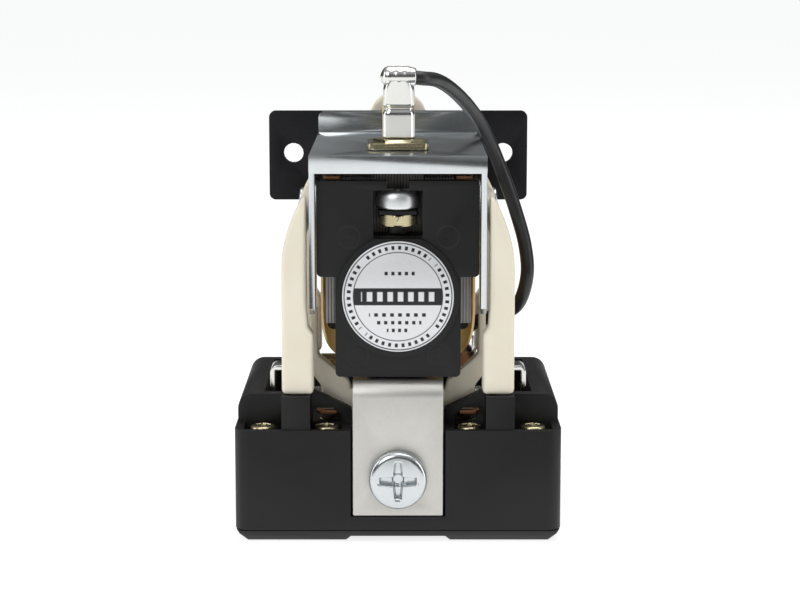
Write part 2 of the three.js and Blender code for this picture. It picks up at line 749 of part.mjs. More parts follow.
// The shoulder rivet that the cap turns on, from inside the cap out to the leg frame's side.
function pivotPin() {
  const shank = rod('x', pivotShank, capInner - 1.4, pivotSeat + 0.6, pivotY, pivotHeight);
  const head = rod('x', pivotHead, pivotSeat + seat, pivotSeat + seat + 1, pivotY, pivotHeight);
  const inner = rod('x', pivotShank + 0.8, capInner - 1.4, capInner - seat, pivotY, pivotHeight);
  return shaped(shank, [head, inner]);
}

// ---------- Armature ----------
// One side of the cap: a long strap at the front, cut up over the coil, and a lug round the pivot.
function capSide() {
  const y0 = lipFront + 0.6;
  const strapEnd = y0 + capStrapLength;
  const lugFront = pivotY - 5;
  const lugBottom = pivotHeight - 5;
  return slabX(outline([
    [y0, capFlangeBottom + 1.2], [y0 + 1.2, capFlangeBottom], [strapEnd - 1.2, capFlangeBottom],
    [strapEnd, capFlangeBottom + 1.2], [strapEnd, capSideBottom + 4], [strapEnd + 4, capSideBottom + 8],
    [lugFront - 4, capSideBottom + 8], [lugFront, lugBottom], [capBack - 2, lugBottom],
    [capBack, lugBottom + 2], [capBack, capTop - 0.5], [y0, capTop - 0.5],
  ]), capInner, capHalf);
}

function cap() {
  const roof = block(-capHalf, capHalf, lipFront, upstandBack, roofUnder, capTop);
  const lipShape = rounded(-capHalf, capHalf, lipBottom, capTop, 0.5);
  const lip = slabY(lipShape, lipFront, lipFront + sheet * 0.8);
  const upstand = slabY(rounded(-capHalf, capHalf, roofUnder - 1.5, upstandTop, 1.4), upstandFront, upstandBack);
  const bore = rod('x', pivotShank + holeGap, capInner - 1, capHalf + 1, pivotY, pivotHeight);
  const studHole = rod('y', studRadius + holeGap, upstandFront - 1, upstandBack + 1, 0, studHeight);
  const terminalHole = rod('z', 1.8 + holeGap, roofUnder - 1, capTop + 1, 0, terminalTopY);
  const underUpstand = block(-capHalf - 1, capHalf + 1, upstandFront - 0.01, upstandBack + 1, roofUnder - 3, roofUnder);
  return shaped(
    roof, [lip, upstand, capSide(), mirrored(capSide(), 'x')],
    [bore, mirrored(bore, 'x'), studHole, terminalHole, underUpstand]);
}

function armatureBar() {
  const shape = rounded(-barHalf, barHalf, barFront, rearPoleBack - 1.2, 1);
  return slabZ(shape, barBottom, barTop);
}

function topTerminalBase() {
  const side = hexFlange.side / 2;
  const flange = slabZ(
    rounded(-side, side, terminalTopY - side, terminalTopY + side, hexFlange.corner), flangeTop, hexTop);
  const body = slabZ(hexagon(hexBody.across, 0, terminalTopY), hexTop - 0.3, bodyTop);
  const spigot = rod('z', 1.8, barTop + seat, flangeTop + 0.3, 0, terminalTopY);
  const blade = block(
    -tab.width / 2, tab.width / 2, terminalTopY - tab.thickness / 2, terminalTopY + tab.thickness / 2,
    bodyTop - 0.4, tabTop);
  return shaped(flange, [body, spigot, blade]);
}

// The female terminal on the top tab: a flat sleeve with two rolled edges, and the crimp barrel across its top.
function topReceptacle() {
  const half = receptacle.width / 2;
  const y0 = terminalTopY - receptacle.depth / 2;
  const y1 = terminalTopY + receptacle.depth / 2;
  const sleeve = slabZ(rounded(-half, half, y0, y1, 0.9), receptacleBottom, receptacleTop);
  const slot = block(
    -tab.width / 2 - receptacle.slotGap, tab.width / 2 + receptacle.slotGap,
    terminalTopY - tab.thickness / 2 - receptacle.slotGap, terminalTopY + tab.thickness / 2 + receptacle.slotGap,
    receptacleBottom - 1, tabTop + 0.6);
  const back0 = terminalTopY + tab.thickness / 2 + 0.5;
  const split = block(-0.5, 0.5, back0 - 1.5, y1 + 1, receptacleBottom - 1, receptacleTop - 2);
  const barrel = rod('x', barrelRadius, barrelLeft, barrelRight, terminalTopY, barrelHeight);
  const bore = rod('x', leadRadius + holeGap, barrelLeft + 1.2, barrelRight + 1, terminalTopY, barrelHeight);
  return shaped(sleeve, [barrel], [slot, split, bore]);
}

// ---------- Moving contact carrier ----------
// Half of the V-shaped carrier seen from the front, on the +X side.
function carrierHalf() {
  const beamTop = carrierBottom + carrierBeam;
  const armInner = carrierArmOuter - carrierArmWidth;
  const footEnd = carrierFoot.inner + carrierFoot.width;
  const footBottom = bladeHeight + bladeThickness + seat;
  return outline([
    [-0.5, carrierBottom], [recessHalf + 1, carrierBottom], [carrierFoot.inner, carrierBottom + 1.2],
    [carrierFoot.inner, footBottom], [footEnd, footBottom], [footEnd, carrierBottom + 4.8],
    [carrierArmOuter, carrierShoulder - 1.4], [carrierArmOuter, capFlangeBottom - seat],
    [armInner, capFlangeBottom - seat], [armInner, carrierElbow], [recessHalf + 0.6, carrierShoulder - 3.2],
    [recessHalf, beamTop], [-0.5, beamTop],
  ]);
}

function carrier() {
  const half = slabY(carrierHalf(), carrierFront, carrierBack);
  return shaped(half, [mirrored(half, 'x')]);
}

// ---------- Contacts and terminal strips, drawn on the +X side ----------
// A flat strip seen from above, from a list of corners, with a screw hole.
function flatStrip(points, x, y, extraHoles = []) {
  const shape = outline(points);
  hole(shape, x, y, screwHead.shank + holeGap);
  for (const [hx, hy] of extraHoles) hole(shape, hx, hy, contactShank + holeGap);
  return slabZ(shape, stripBottom, stripTop);
}

// Front outer strip: from its well under the wall, up beside the block, over and inwards to the contact.
function ncStrip() {
  const y0 = -contactBack - hookDepth / 2;
  const y1 = -contactBack + hookDepth / 2;
  const wellX0 = postOuter + 0.3;
  const wellX1 = wellEnd - 0.3;
  const foot = flatStrip([
    [wellX0, -wellFront + 0.3], [wellX1, -wellFront + 0.3], [wellX1, -webOuter - 0.3],
    [hookX, -webOuter - 0.3], [hookX, y1], [wellX0, y1],
  ], outerTerminalX, -terminalY);
  const armTop = ncUnder + strip;
  const left = hookX - hookWidth;
  const r = 1.4;
  const shape = new THREE.Shape();
  shape.moveTo(hookX, stripBottom);
  shape.lineTo(hookX, hookHeight - r);
  shape.absarc(hookX - r, hookHeight - r, r, 0, Math.PI / 2);
  shape.lineTo(left, hookHeight);
  shape.lineTo(left, armTop);
  shape.lineTo(bladeInner, armTop);
  shape.lineTo(bladeInner, ncUnder);
  shape.lineTo(left + strip, ncUnder);
  shape.lineTo(left + strip, hookHeight - strip);
  shape.lineTo(hookX - strip, hookHeight - strip);
  shape.lineTo(hookX - strip, stripBottom);
  const hook = slabY(shape, y0, y1);
  const bore = rod('z', contactShank + holeGap, ncUnder - 1, armTop + 1, contactX, -contactBack);
  return shaped(hook, [foot], [bore]);
}

// Rear outer strip: from its well forward along the chamber floor to the pad under the contact.
function noStrip() {
  const y0 = -contactBack - hookDepth / 2;
  const y1 = -contactBack + hookDepth / 2;
  const runInner = postOuter - 3.4;
  const runOuter = postOuter - 0.2;
  const neck = wellEnd - 4.2;
  return flatStrip([
    [bladeInner, y0], [runOuter, y0], [runOuter, webInner - 3], [postOuter + 0.3, webInner - 3],
    [neck, webInner - 3], [neck, webOuter + 0.3], [wellEnd - 0.3, webOuter + 0.3],
    [wellEnd - 0.3, wellFront - 0.3], [postOuter + 0.3, wellFront - 0.3], [postOuter + 0.3, webInner - 1],
    [runInner, webInner - 1], [runInner, y1], [bladeInner, y1],
  ], outerTerminalX, terminalY, [[contactX, -contactBack]]);
}

// Front inner strip: from its well back along the middle wall to the block that carries the blade's root.
function commonStrip() {
  const runInner = recessHalf + 0.5;
  const runOuter = bladeInner - 0.4;
  const strandFront = -webInner + 1;
  const root = block(
    bladeInner + 0.2, bladeInner + bladeWidth - 0.2, bladeRoot - 2.5, bladeRoot + bladeTail, stripTop - 0.5,
    bladeHeight - seat);
  const flat = flatStrip([
    [wellInner + 0.3, -wellFront + 0.3], [postInner - 0.3, -wellFront + 0.3], [postInner - 0.3, strandFront],
    [runOuter, strandFront], [runOuter, bladeRoot - 2.5], [bladeInner + bladeWidth, bladeRoot - 2.5],
    [bladeInner + bladeWidth, bladeRoot + bladeTail], [runInner, bladeRoot + bladeTail],
    [runInner, strandFront - 0.5], [wellInner + 0.3, strandFront - 0.5],
  ], innerTerminalX, -terminalY);
  return shaped(flat, [root]);
}

// Rear inner strip: from its well under the rear wall to an upright tab in the chamber.
function coilStrip() {
  const half = coilTab.width / 2;
  const flat = flatStrip([
    [wellInner + 0.3, wellFront - 0.3], [wellInner + 0.3, coilTabY], [innerTerminalX + half, coilTabY],
    [innerTerminalX + half, webOuter + 0.3], [postInner - 0.3, webOuter + 0.3], [postInner - 0.3, wellFront - 0.3],
  ], innerTerminalX, terminalY);
  const upright = block(
    innerTerminalX - half, innerTerminalX + half, coilTabY, coilTabY + strip, stripBottom, coilTab.height);
  return shaped(flat, [upright]);
}

function contactBlade() {
  const x1 = bladeInner + bladeWidth;
  const tip = carrierFront - 0.3 + 0.6;
  const shape = rounded(bladeInner, x1, tip, bladeRoot + bladeTail, 0.8);
  hole(shape, contactX, -contactBack, contactShank + holeGap);
  return slabZ(shape, bladeHeight, bladeHeight + bladeThickness);
}

// ---------- Lead ----------
// The insulated lead from the top terminal over the cap's edge and down to the rear coil tab.
const leadPoints = [
  [barrelRight - 2, terminalTopY, barrelHeight],
  [barrelRight + 1, terminalTopY, barrelHeight - 0.3],
  [barrelRight + 4.4, terminalTopY + 4, barrelHeight - 1],
  [13.4, terminalTopY + 13.5, 87],
  [18.2, terminalTopY + 21.5, 80.2],
  [22, terminalTopY + 23.5, 71.6],
  [25.3, terminalTopY + 21.5, 62.3],
  [27.2, terminalTopY + 18.5, 55],
  [27.5, terminalTopY + 16.5, 49.2],
  [25.8, terminalTopY + 18, 43],
  [21.6, terminalTopY + 25, 39.2],
  [18, coilTabY + 0.4, 38],
  [15.4, coilTabY + 1, 36.2],
  [innerTerminalX, plugY, plugTop + 0.9],
  [innerTerminalX, plugY, plugTop - plug.barrel + 0.6],
];

function lead() {
  const curve = new THREE.CatmullRomCurve3(leadPoints.map(([x, y, z]) => new THREE.Vector3(x, y, z)));
  const section = new THREE.Shape();
  section.absarc(0, 0, leadRadius, 0, Math.PI * 2);
  return new THREE.ExtrudeGeometry(section, {
    steps: leadSteps, extrudePath: curve, bevelEnabled: false, curveSegments: leadSides / 2,
  });
}

// The female terminal on the rear coil tab, with its barrel upright round the lead's end.
function leadPlug() {
  const half = plug.width / 2;
  const halfDepth = plug.depth / 2;
  const x = innerTerminalX;
  const sleeve = slabZ(
    rounded(x - half, x + half, plugY - halfDepth, plugY + halfDepth, 0.8), plug.bottom, plugSleeveTop);
  const slotHalf = coilTab.width / 2 + holeGap;
  const slot = block(
    x - slotHalf, x + slotHalf, coilTabY - holeGap, coilTabY + strip + holeGap,
    plug.bottom - 1, coilTab.height + holeGap);
  const barrel = rod('z', leadRadius + 0.8, plugSleeveTop - 0.4, plugTop, x, plugY);
  const bore = rod('z', leadRadius + holeGap, plugSleeveTop + 0.3, plugTop + 1, x, plugY);
  return shaped(sleeve, [barrel], [slot, bore]);
}

// ---------- Assembly ----------
const relay = new THREE.Group();

function add(name, geometry, finishName) {
  const mesh = new THREE.Mesh(geometry, material(finishName));
  mesh.name = name;
  relay.add(mesh);
  return mesh;
}

// A piece drawn on the +X side, and its mirror image on the other side.
function addPair(name, geometry, finishName) {
  add(`${name}_right`, geometry, finishName);
  add(`${name}_left`, mirrored(geometry, 'x'), finishName);
}

add('base', base(), 'moulding');
add('foot_plate', basePlate(), 'moulding');
add('front_strap', frontStrap(), 'zinc');
add('rear_yoke', rearYoke(), 'zinc');

const frontScrew = add('strap_screw_front', panScrew(strapHead), 'bright');
frontScrew.rotation.x = Math.PI / 2;
frontScrew.position.set(0, strapFront - seat, strapScrewHeight);
const rearScrew = add('strap_screw_rear', panScrew(strapHead), 'bright');
rearScrew.rotation.x = -Math.PI / 2;
rearScrew.position.set(0, yokeBack + seat, strapScrewHeight);

add('core', core(), 'iron');
addPair('shading_ring', shadingRing(), 'copper');
add('bobbin', bobbin(), 'moulding');
add('winding', winding(), 'winding');
add('front_cover', frontCover(), 'moulding');
add('label', label(), 'label');
add('clamp_tab', clampTab(), 'blackened');
const clampScrew = add('clamp_screw', panScrew(clampHead), 'bright');
clampScrew.position.set(0, clampY, clampTabHeight + clampTabThickness + seat);
const nut = add('clamp_nut', hexNut(clampNut, clampHead.shank), 'brass');
nut.position.set(0, clampY, clampTabHeight - seat - clampNut.height);

addPair('leg_frame', legFrame(), 'nylon');
addPair('pivot_pin', pivotPin(), 'bright');
add('rear_plate', rearPlate(), 'blackened');
for (const [side, name] of [[1, 'right'], [-1, 'left']]) {
  const screw = add(`plate_screw_${name}`, panScrew(plateScrew), 'bright');
  screw.rotation.x = -Math.PI / 2;
  screw.position.set((side * plateScrew.spacing) / 2, plateBack + seat, plateScrew.seatHeight);
}

add('cap', cap(), 'bright');
add('armature_bar', armatureBar(), 'iron');
add('top_terminal', topTerminalBase(), 'brass');
add('top_receptacle', topReceptacle(), 'silver');
add('return_stud', returnStud(), 'zinc');
add('return_spring', returnSpring(), 'spring');
add('spring_cup', springCup(), 'nylon');
add('spring_nut', springNut(), 'zinc');

add('carrier', carrier(), 'nylon');
addPair('contact_blade', contactBlade(), 'copper');
addPair('moving_contact', rivet(movingBottom, bladeHeight - seat, bladeTop + seat, movingTop)
  .translate(contactX, -contactBack, 0), 'silver');
addPair('nc_strip', ncStrip(), 'silver');
addPair('nc_contact', rivet(movingTop + seat, ncUnder - seat, ncUnder + strip, ncUnder + strip)
  .translate(contactX, -contactBack, 0), 'silver');
addPair('no_strip', noStrip(), 'brass');
addPair('no_contact', rivet(stripBottom + 0.1, stripBottom + 0.1, stripTop + seat, noTop)
  .translate(contactX, -contactBack, 0), 'silver');
addPair('common_strip', commonStrip(), 'brass');
addPair('coil_strip', coilStrip(), 'brass');

const terminalPlaces = [
  ['front_outer', outerTerminalX, -terminalY], ['front_inner', innerTerminalX, -terminalY],
  ['rear_inner', innerTerminalX, terminalY], ['rear_outer', outerTerminalX, terminalY],
];
for (const [place, x, y] of terminalPlaces) {
  for (const [side, name] of [[1, 'right'], [-1, 'left']]) {
    const screw = add(`screw_${place}_${name}`, panScrew(screwHead), 'brass');
    screw.position.set(side * x, y, headSeat);
  }
}

add('lead', lead(), 'lead');
add('lead_plug', leadPlug(), 'silver');

// The footprint's middle goes to the origin: from the front screw's head to the end of the return stud.
const frontEnd = strapFront - seat - strapHead.height;
relay.position.y = -(frontEnd + studEnd) / 2;

export default relay;
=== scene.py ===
import json
from math import cos, pi, radians, sin

import bmesh
import bpy
import numpy as np
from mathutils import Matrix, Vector


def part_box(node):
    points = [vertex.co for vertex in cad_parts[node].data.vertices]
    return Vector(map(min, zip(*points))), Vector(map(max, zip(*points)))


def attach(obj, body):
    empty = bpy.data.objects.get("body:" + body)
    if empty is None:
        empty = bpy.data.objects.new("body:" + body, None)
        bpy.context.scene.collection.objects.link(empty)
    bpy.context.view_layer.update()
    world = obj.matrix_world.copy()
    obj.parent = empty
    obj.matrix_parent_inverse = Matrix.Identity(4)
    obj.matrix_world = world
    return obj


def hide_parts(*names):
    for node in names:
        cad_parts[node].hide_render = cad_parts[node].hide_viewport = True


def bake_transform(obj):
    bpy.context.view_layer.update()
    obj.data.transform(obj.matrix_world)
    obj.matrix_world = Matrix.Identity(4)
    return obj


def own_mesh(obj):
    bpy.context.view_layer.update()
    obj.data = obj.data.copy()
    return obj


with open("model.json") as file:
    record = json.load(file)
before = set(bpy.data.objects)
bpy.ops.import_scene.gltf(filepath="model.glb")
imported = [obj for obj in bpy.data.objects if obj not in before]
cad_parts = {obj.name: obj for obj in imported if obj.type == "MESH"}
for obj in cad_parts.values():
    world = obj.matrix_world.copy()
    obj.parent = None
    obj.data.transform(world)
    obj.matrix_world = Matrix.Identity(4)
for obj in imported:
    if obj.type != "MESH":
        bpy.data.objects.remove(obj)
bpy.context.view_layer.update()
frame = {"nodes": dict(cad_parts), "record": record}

MM = 0.001
SIDES = ("right", "left")
MERGE = 1e-6  # points nearer than this, in metres, are one
LAMP_AIM = (0, 0, 0.05)
LEAD_RADIUS = 1.45 * MM
CUP_BORE = 1.6 * MM
BEVEL_STEPS = 3
BEVEL_FROM = radians(34)  # edges folded more than this are rounded
FLAT_WITHIN = radians(0.4)  # faces folded less than this are joined
nodes = frame["nodes"]
bodies = {node: body for body, names in frame["record"]["behaviour"]["bodies"].items() for node in names}
slots = {part["node"]: part["material_slot"] for part in frame["record"]["subparts"]}


def middle(node):
    low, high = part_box(node)
    return (low + high) / 2


# ---------- Camera ----------
def set_camera():
    """A long lens in front of the relay and a little above it, looking slightly down."""
    distance, height, pitch = 434 * MM, 118.2 * MM, radians(9)
    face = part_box("base")[0].y
    data = bpy.data.cameras.new("camera")
    data.lens = 100
    data.sensor_width = 36
    data.clip_start = 0.01
    camera = bpy.data.objects.new("camera", data)
    camera.location = (0.4 * MM, face - distance, height)
    camera.rotation_euler = (pi / 2 - pitch, 0, 0)
    bpy.context.scene.collection.objects.link(camera)
    bpy.context.scene.camera = camera


# ---------- Mesh making ----------
def placed(name, mesh, stands_for, finish=None):
    """A smooth-shaded object from a mesh, standing for CAD nodes and moving with their body."""
    mesh.polygons.foreach_set("use_smooth", np.ones(len(mesh.polygons), bool))
    made = bpy.data.objects.new(name, mesh)
    bpy.context.scene.collection.objects.link(made)
    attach(made, bodies[stands_for[0]])
    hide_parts(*stands_for)
    mesh.materials.append(finish or finishes[slots[stands_for[0]]])
    return made


def quads(rows, columns, start=0, wrap=True):
    """Faces of a grid of points, row by row; wrap joins the last column to the first."""
    r, c = np.meshgrid(np.arange(rows - 1), np.arange(columns if wrap else columns - 1), indexing="ij")
    nxt = (c + 1) % columns
    faces = np.stack([r * columns + c, r * columns + nxt, (r + 1) * columns + nxt, (r + 1) * columns + c], -1)
    return start + faces.reshape(-1, 4)


def tidy(mesh):
    """Merges doubled points, drops empty faces and points the faces outwards."""
    bm = bmesh.new()
    bm.from_mesh(mesh)
    bmesh.ops.remove_doubles(bm, verts=bm.verts, dist=2 * MERGE)
    bmesh.ops.dissolve_degenerate(bm, edges=bm.edges, dist=MERGE)
    bmesh.ops.recalc_face_normals(bm, faces=bm.faces)
    bm.to_mesh(mesh)
    bm.free()
    return mesh


def merged(name, parts):
    """One mesh from a list of (points, faces), each closed, with its faces pointing out."""
    points, faces, start = [], [], 0
    for part_points, part_faces in parts:
        points.append(np.asarray(part_points, float))
        faces += [[int(i) + start for i in face] for face in part_faces]
        start += len(part_points)
    mesh = bpy.data.meshes.new(name)
    mesh.from_pydata(np.concatenate(points).tolist(), [], faces)
    mesh.update()
    return tidy(mesh)


def basis(axis):
    """Three unit vectors as rows, the last along the named axis."""
    table = {
        "+Z": ((1, 0, 0), (0, 1, 0), (0, 0, 1)),
        "-Y": ((1, 0, 0), (0, 0, 1), (0, -1, 0)),
        "+Y": ((-1, 0, 0), (0, 0, 1), (0, 1, 0)),
        "+X": ((0, 1, 0), (0, 0, 1), (1, 0, 0)),
        "-X": ((0, -1, 0), (0, 0, 1), (-1, 0, 0)),
    }
    return np.array(table[axis], float)


def turned(profile, centre, axis, count=64):
    """A profile of (radius, height) carried once round an axis: x = r cos a, y = r sin a, z = h."""
    profile = np.asarray(profile, float)
    a = np.arange(count) * 2 * pi / count
    r, h = profile[:, :1], profile[:, 1:]
    local = np.stack([r * np.cos(a), r * np.sin(a), h + 0 * a], -1).reshape(-1, 3)
    return local @ basis(axis) + np.asarray(centre), quads(len(profile), count)


def eased(node, width, finish=None):
    """A copy of a CAD node: points merged, flat faces joined and cut afresh, and edges rounded by a bevel."""
    bm = bmesh.new()
    bm.from_mesh(nodes[node].data)
    bmesh.ops.remove_doubles(bm, verts=bm.verts, dist=MERGE)
    bmesh.ops.dissolve_limit(bm, angle_limit=FLAT_WITHIN, verts=bm.verts, edges=bm.edges)
    bmesh.ops.triangulate(bm, faces=bm.faces, quad_method="BEAUTY", ngon_method="BEAUTY")
    mesh = bpy.data.meshes.new(node + "_eased")
    bm.to_mesh(mesh)
    bm.free()
    made = placed(node + "_eased", mesh, [node], finish)
    bevel = made.modifiers.new("rounded edges", "BEVEL")
    bevel.width = width * MM
    bevel.segments = BEVEL_STEPS
    bevel.limit_method = "ANGLE"
    bevel.angle_limit = BEVEL_FROM
    bevel.harden_normals = True
    bevel.miter_outer = "MITER_ARC"


# ---------- Shader maths ----------
class Amount:
    """A number that varies over a surface; arithmetic on it adds Math nodes."""

    def __init__(self, finish, socket):
        self.finish = finish
        self.socket = socket

    def maths(self, operation, *others):
        node = self.finish.add("ShaderNodeMath", {"operation": operation}, self, *others)
        return Amount(self.finish, node.outputs[0])

    def __add__(self, other):
        return self.maths("ADD", other)

    def __sub__(self, other):
        return self.maths("SUBTRACT", other)

    def __rsub__(self, other):
        return (self * -1) + other

    def __mul__(self, other):
        return self.maths("MULTIPLY", other)

    def __truediv__(self, other):
        return self.maths("DIVIDE", other)

    def below(self, edge, soft):
        """1 where the value is under the edge, 0 where it is over, with a soft step between."""
        return self.step(edge + soft, edge - soft)

    def step(self, low, high):
        """0 at low and 1 at high, kept between them."""
        ranged = self.finish.add("ShaderNodeMapRange", {"clamp": True}, self, low, high, 0.0, 1.0)
        return Amount(self.finish, ranged.outputs[0])

    def most(self, other):
        return self.maths("MAXIMUM", other)

    def size(self):
        return self.maths("ABSOLUTE")

    __radd__ = __add__
    __rmul__ = __mul__


class Nodes:
    """A node tree, and the one call that adds a node to it and fills its sockets."""

    def __init__(self, tree):
        self.tree = tree

    def add(self, kind, settings=None, *values, **named):
        node = self.tree.nodes.new(kind)
        for key, value in (settings or {}).items():
            setattr(node, key, value)
        for key, value in [*enumerate(values), *named.items()]:
            socket = node.inputs[key if isinstance(key, int) else key.replace("_", " ")]
            self.feed(socket, value)
        return node

    def feed(self, socket, value):
        if isinstance(value, Amount):
            self.tree.links.new(value.socket, socket)
        elif isinstance(value, bpy.types.NodeSocket):
            self.tree.links.new(value, socket)
        else:
            socket.default_value = value


class Finish(Nodes):
    """A material with one Principled shader, and short calls for the nodes that feed it."""

    def __init__(self, name, **constants):
        self.material = bpy.data.materials.new(name)
        self.material.use_nodes = True
        super().__init__(self.material.node_tree)
        self.shader = self.tree.nodes["Principled BSDF"]
        for key, value in constants.items():
            self.shader.inputs[key.replace("_", " ")].default_value = value
        self.place = self.add("ShaderNodeTexCoord").outputs["Object"]

    def stretched(self, scale):
        """The object's own coordinates, stretched along each axis."""
        return self.add("ShaderNodeMapping", None, self.place, Scale=scale).outputs[0]

    def grain(self, scale, detail=3.0, stretch=None, rough=0.5):
        """Even noise from 0 to 1; scale is in cells a metre."""
        place = self.stretched(stretch) if stretch else self.place
        noise = self.add(
            "ShaderNodeTexNoise", None, Vector=place, Scale=scale, Detail=detail, Roughness=rough)
        return Amount(self, noise.outputs[0])

    def axes(self):
        parts = self.add("ShaderNodeSeparateXYZ", None, self.place).outputs
        return [Amount(self, parts[i]) for i in range(3)]

    def blend_colour(self, amount, first, second):
        mix = self.add("ShaderNodeMix", {"data_type": "RGBA"})
        self.feed(mix.inputs["Factor"], amount)
        for socket, value in ((mix.inputs[6], first), (mix.inputs[7], second)):
            self.feed(socket, (*value, 1) if isinstance(value, tuple) else value)
        return mix.outputs[2]

    def colour(self, value):
        self.feed(self.shader.inputs["Base Color"], (*value, 1) if isinstance(value, tuple) else value)

    def rough(self, value):
        self.feed(self.shader.inputs["Roughness"], value)

    def bump(self, height, depth, strength=0.6):
        node = self.add("ShaderNodeBump", None, Strength=strength, Distance=depth * MM, Height=height)
        self.feed(self.shader.inputs["Normal"], node.outputs[0])


# ---------- Finishes ----------
def moulded(name, dark, light, gloss=0.46):
    """Matte moulded plastic: a fine grain, faint flow marks and slightly uneven gloss."""
    f = Finish(name, Specular_IOR_Level=0.28)
    fine = f.grain(2600, 4)
    flow = f.grain(90, 2, (1, 1, 2.4))
    f.colour(f.blend_colour(fine * 0.45 + flow * 0.55, dark, light))
    f.rough(flow * 0.16 + fine * 0.12 + (gloss - 0.12))
    f.bump(fine + flow * 0.3, 0.03, 0.35)
    return f


def cover_moulding():
    """The black moulding with four shallow ejector rings: grooves at r from two places on each side."""
    f = Finish("cover_moulding", Specular_IOR_Level=0.28)
    fine = f.grain(2600, 4)
    flow = f.grain(90, 2, (1, 1, 2.4))
    x, _, z = f.axes()
    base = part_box("front_cover")[0].z
    ring_radius, groove, soft = 2.2 * MM, 0.14 * MM, 0.08 * MM
    dimple, dimple_soft = 0.3 * MM, 0.1 * MM
    rings = 0
    for across, rise in ((9.85, 28.1), (8.2, 4.2)):
        u = x.size() - across * MM
        v = z - (base + rise * MM)
        r = (u * u + v * v).maths("SQRT")
        rings = (r - ring_radius).size().below(groove, soft) + r.below(dimple, dimple_soft) * 0.6 + rings
    tone = fine * 0.35 + flow * 0.4 + rings * 0.5
    f.colour(f.blend_colour(tone, (0.005, 0.005, 0.005), (0.013, 0.013, 0.0135)))
    f.rough(flow * 0.16 + fine * 0.12 + 0.34)
    f.bump(fine * 0.3 + flow * 0.2 - rings, 0.09, 0.5)
    return f


def nylon():
    """Ivory nylon: a satin skin that lets a little light in, with faint cloudy flow."""
    f = Finish("ivory_nylon", Subsurface_Weight=0.25, Subsurface_Scale=0.0012)
    f.shader.inputs["Subsurface Radius"].default_value = (1.0, 0.75, 0.5)
    cloud = f.grain(140, 3, (1, 1, 0.6))
    fine = f.grain(3200, 2)
    f.colour(f.blend_colour(cloud, (0.76, 0.70, 0.56), (0.86, 0.81, 0.69)))
    f.rough(cloud * 0.14 + fine * 0.08 + 0.30)
    f.bump(fine * 0.5 + cloud * 0.8, 0.03, 0.3)
    return f


def plated(name, dark, light, gloss, grain_scale=1500, stretch=(1, 1, 1), depth=0.02, spread=0.16):
    """Plated metal: a crystalline grain, rubbed patches and a few fine lines along the rolling."""
    f = Finish(name, Metallic=1.0)
    fine = f.grain(grain_scale, 5, stretch, 0.65)
    patch = f.grain(160, 3)
    f.colour(f.blend_colour(fine * 0.5 + patch * 0.5, dark, light))
    f.rough(fine * spread + patch * spread + (gloss - spread))
    f.bump(fine, depth, 0.45)
    return f


def wound():
    """Varnished winding wire: close ribs round the coil under an uneven amber coat, with a painted warm
    reflection that turns it lighter gold towards the bottom.
    """
    f = Finish("winding_wire", Metallic=0.55)
    f.shader.inputs["Coat Weight"].default_value = 0.35
    f.shader.inputs["Coat Roughness"].default_value = 0.22
    _, y, z = f.axes()
    wire_pitch = 0.42 * MM
    ribs = (y * (2 * pi / wire_pitch)).maths("SINE") * 0.5 + 0.5
    cloud = f.grain(260, 3)
    # painted warm reflection: from the middle down to the bottom the colour is pulled towards bright gold
    # (0.62, 0.42, 0.13)
    low = z.step(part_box("winding")[0].z, middle("winding").z)
    tone = f.blend_colour(cloud, (0.19, 0.075, 0.028), (0.52, 0.27, 0.085))
    f.colour(f.blend_colour(low * 0.55, (0.62, 0.42, 0.13), tone))
    f.rough(cloud * 0.25 + 0.26)
    f.bump(ribs + cloud * 0.4, 0.07, 0.6)
    return f


def laminated():
    """Stacked iron sheets: thin dark lines between the plates, oiled and slightly rusty at the cut edges."""
    f = Finish("laminated_iron", Metallic=0.85)
    x, _, _ = f.axes()
    sheet_pitch = 0.6 * MM
    plates = (x * (2 * pi / sheet_pitch)).maths("SINE").step(-1.0, -0.6)
    cloud = f.grain(420, 4)
    iron = f.blend_colour(cloud, (0.16, 0.155, 0.15), (0.33, 0.32, 0.31))
    f.colour(f.blend_colour(plates, (0.05, 0.045, 0.04), iron))
    f.rough(cloud * 0.25 + 0.38)
    f.bump(plates + cloud * 0.2, 0.05, 0.6)
    return f


def printed():
    """The foil disc: a dark ring, a dark band with pale bars, and rows of plain dashes round and under it."""
    f = Finish("printed_foil", Metallic=0.25)
    centre = middle("label")
    radius = (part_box("label")[1].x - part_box("label")[0].x) / 2
    x, _, z = f.axes()
    u = (x - centre.x) / radius
    v = (z - centre.z) / radius
    r = (u * u + v * v).maths("SQRT")
    turn = v.maths("ARCTAN2", u)
    soft, ring_at = 0.006, 0.80
    ring = (r - ring_at).size().below(0.008, soft)
    rim = (r - 0.965).size().below(0.01, soft)
    inside = r.below(ring_at, soft)
    band = v.size().below(0.155, soft) * inside
    bars = (u * 34).maths("SINE").step(-0.35, 0.15) * v.size().below(0.085, soft) * u.size().below(0.66, soft)
    dashes = (turn * 46).maths("SINE").step(0.0, 0.35) * (r - 0.885).size().below(0.035, soft)
    breaks = (turn * 2).maths("COSINE").size().step(0.12, 0.2)

    def row(height, half, count):
        lines = (u * count).maths("SINE").step(-0.1, 0.25)
        return lines * (v - height).size().below(0.032, soft) * u.size().below(half, soft)

    ink = ring.most(rim).most(dashes * breaks).most(row(0.42, 0.30, 52)).most(row(-0.33, 0.52, 44))
    ink = ink.most(row(-0.47, 0.42, 50)).most(row(-0.61, 0.2, 56)).most(band * (1 - bars))
    foil = f.grain(1800, 3, (1, 1, 6))
    pale = f.blend_colour(foil, (0.66, 0.67, 0.69), (0.80, 0.81, 0.83))
    f.colour(f.blend_colour(ink, pale, (0.012, 0.012, 0.014)))
    f.rough(foil * 0.1 + ink * 0.1 + 0.28)
    f.bump(foil, 0.004, 0.3)
    return f


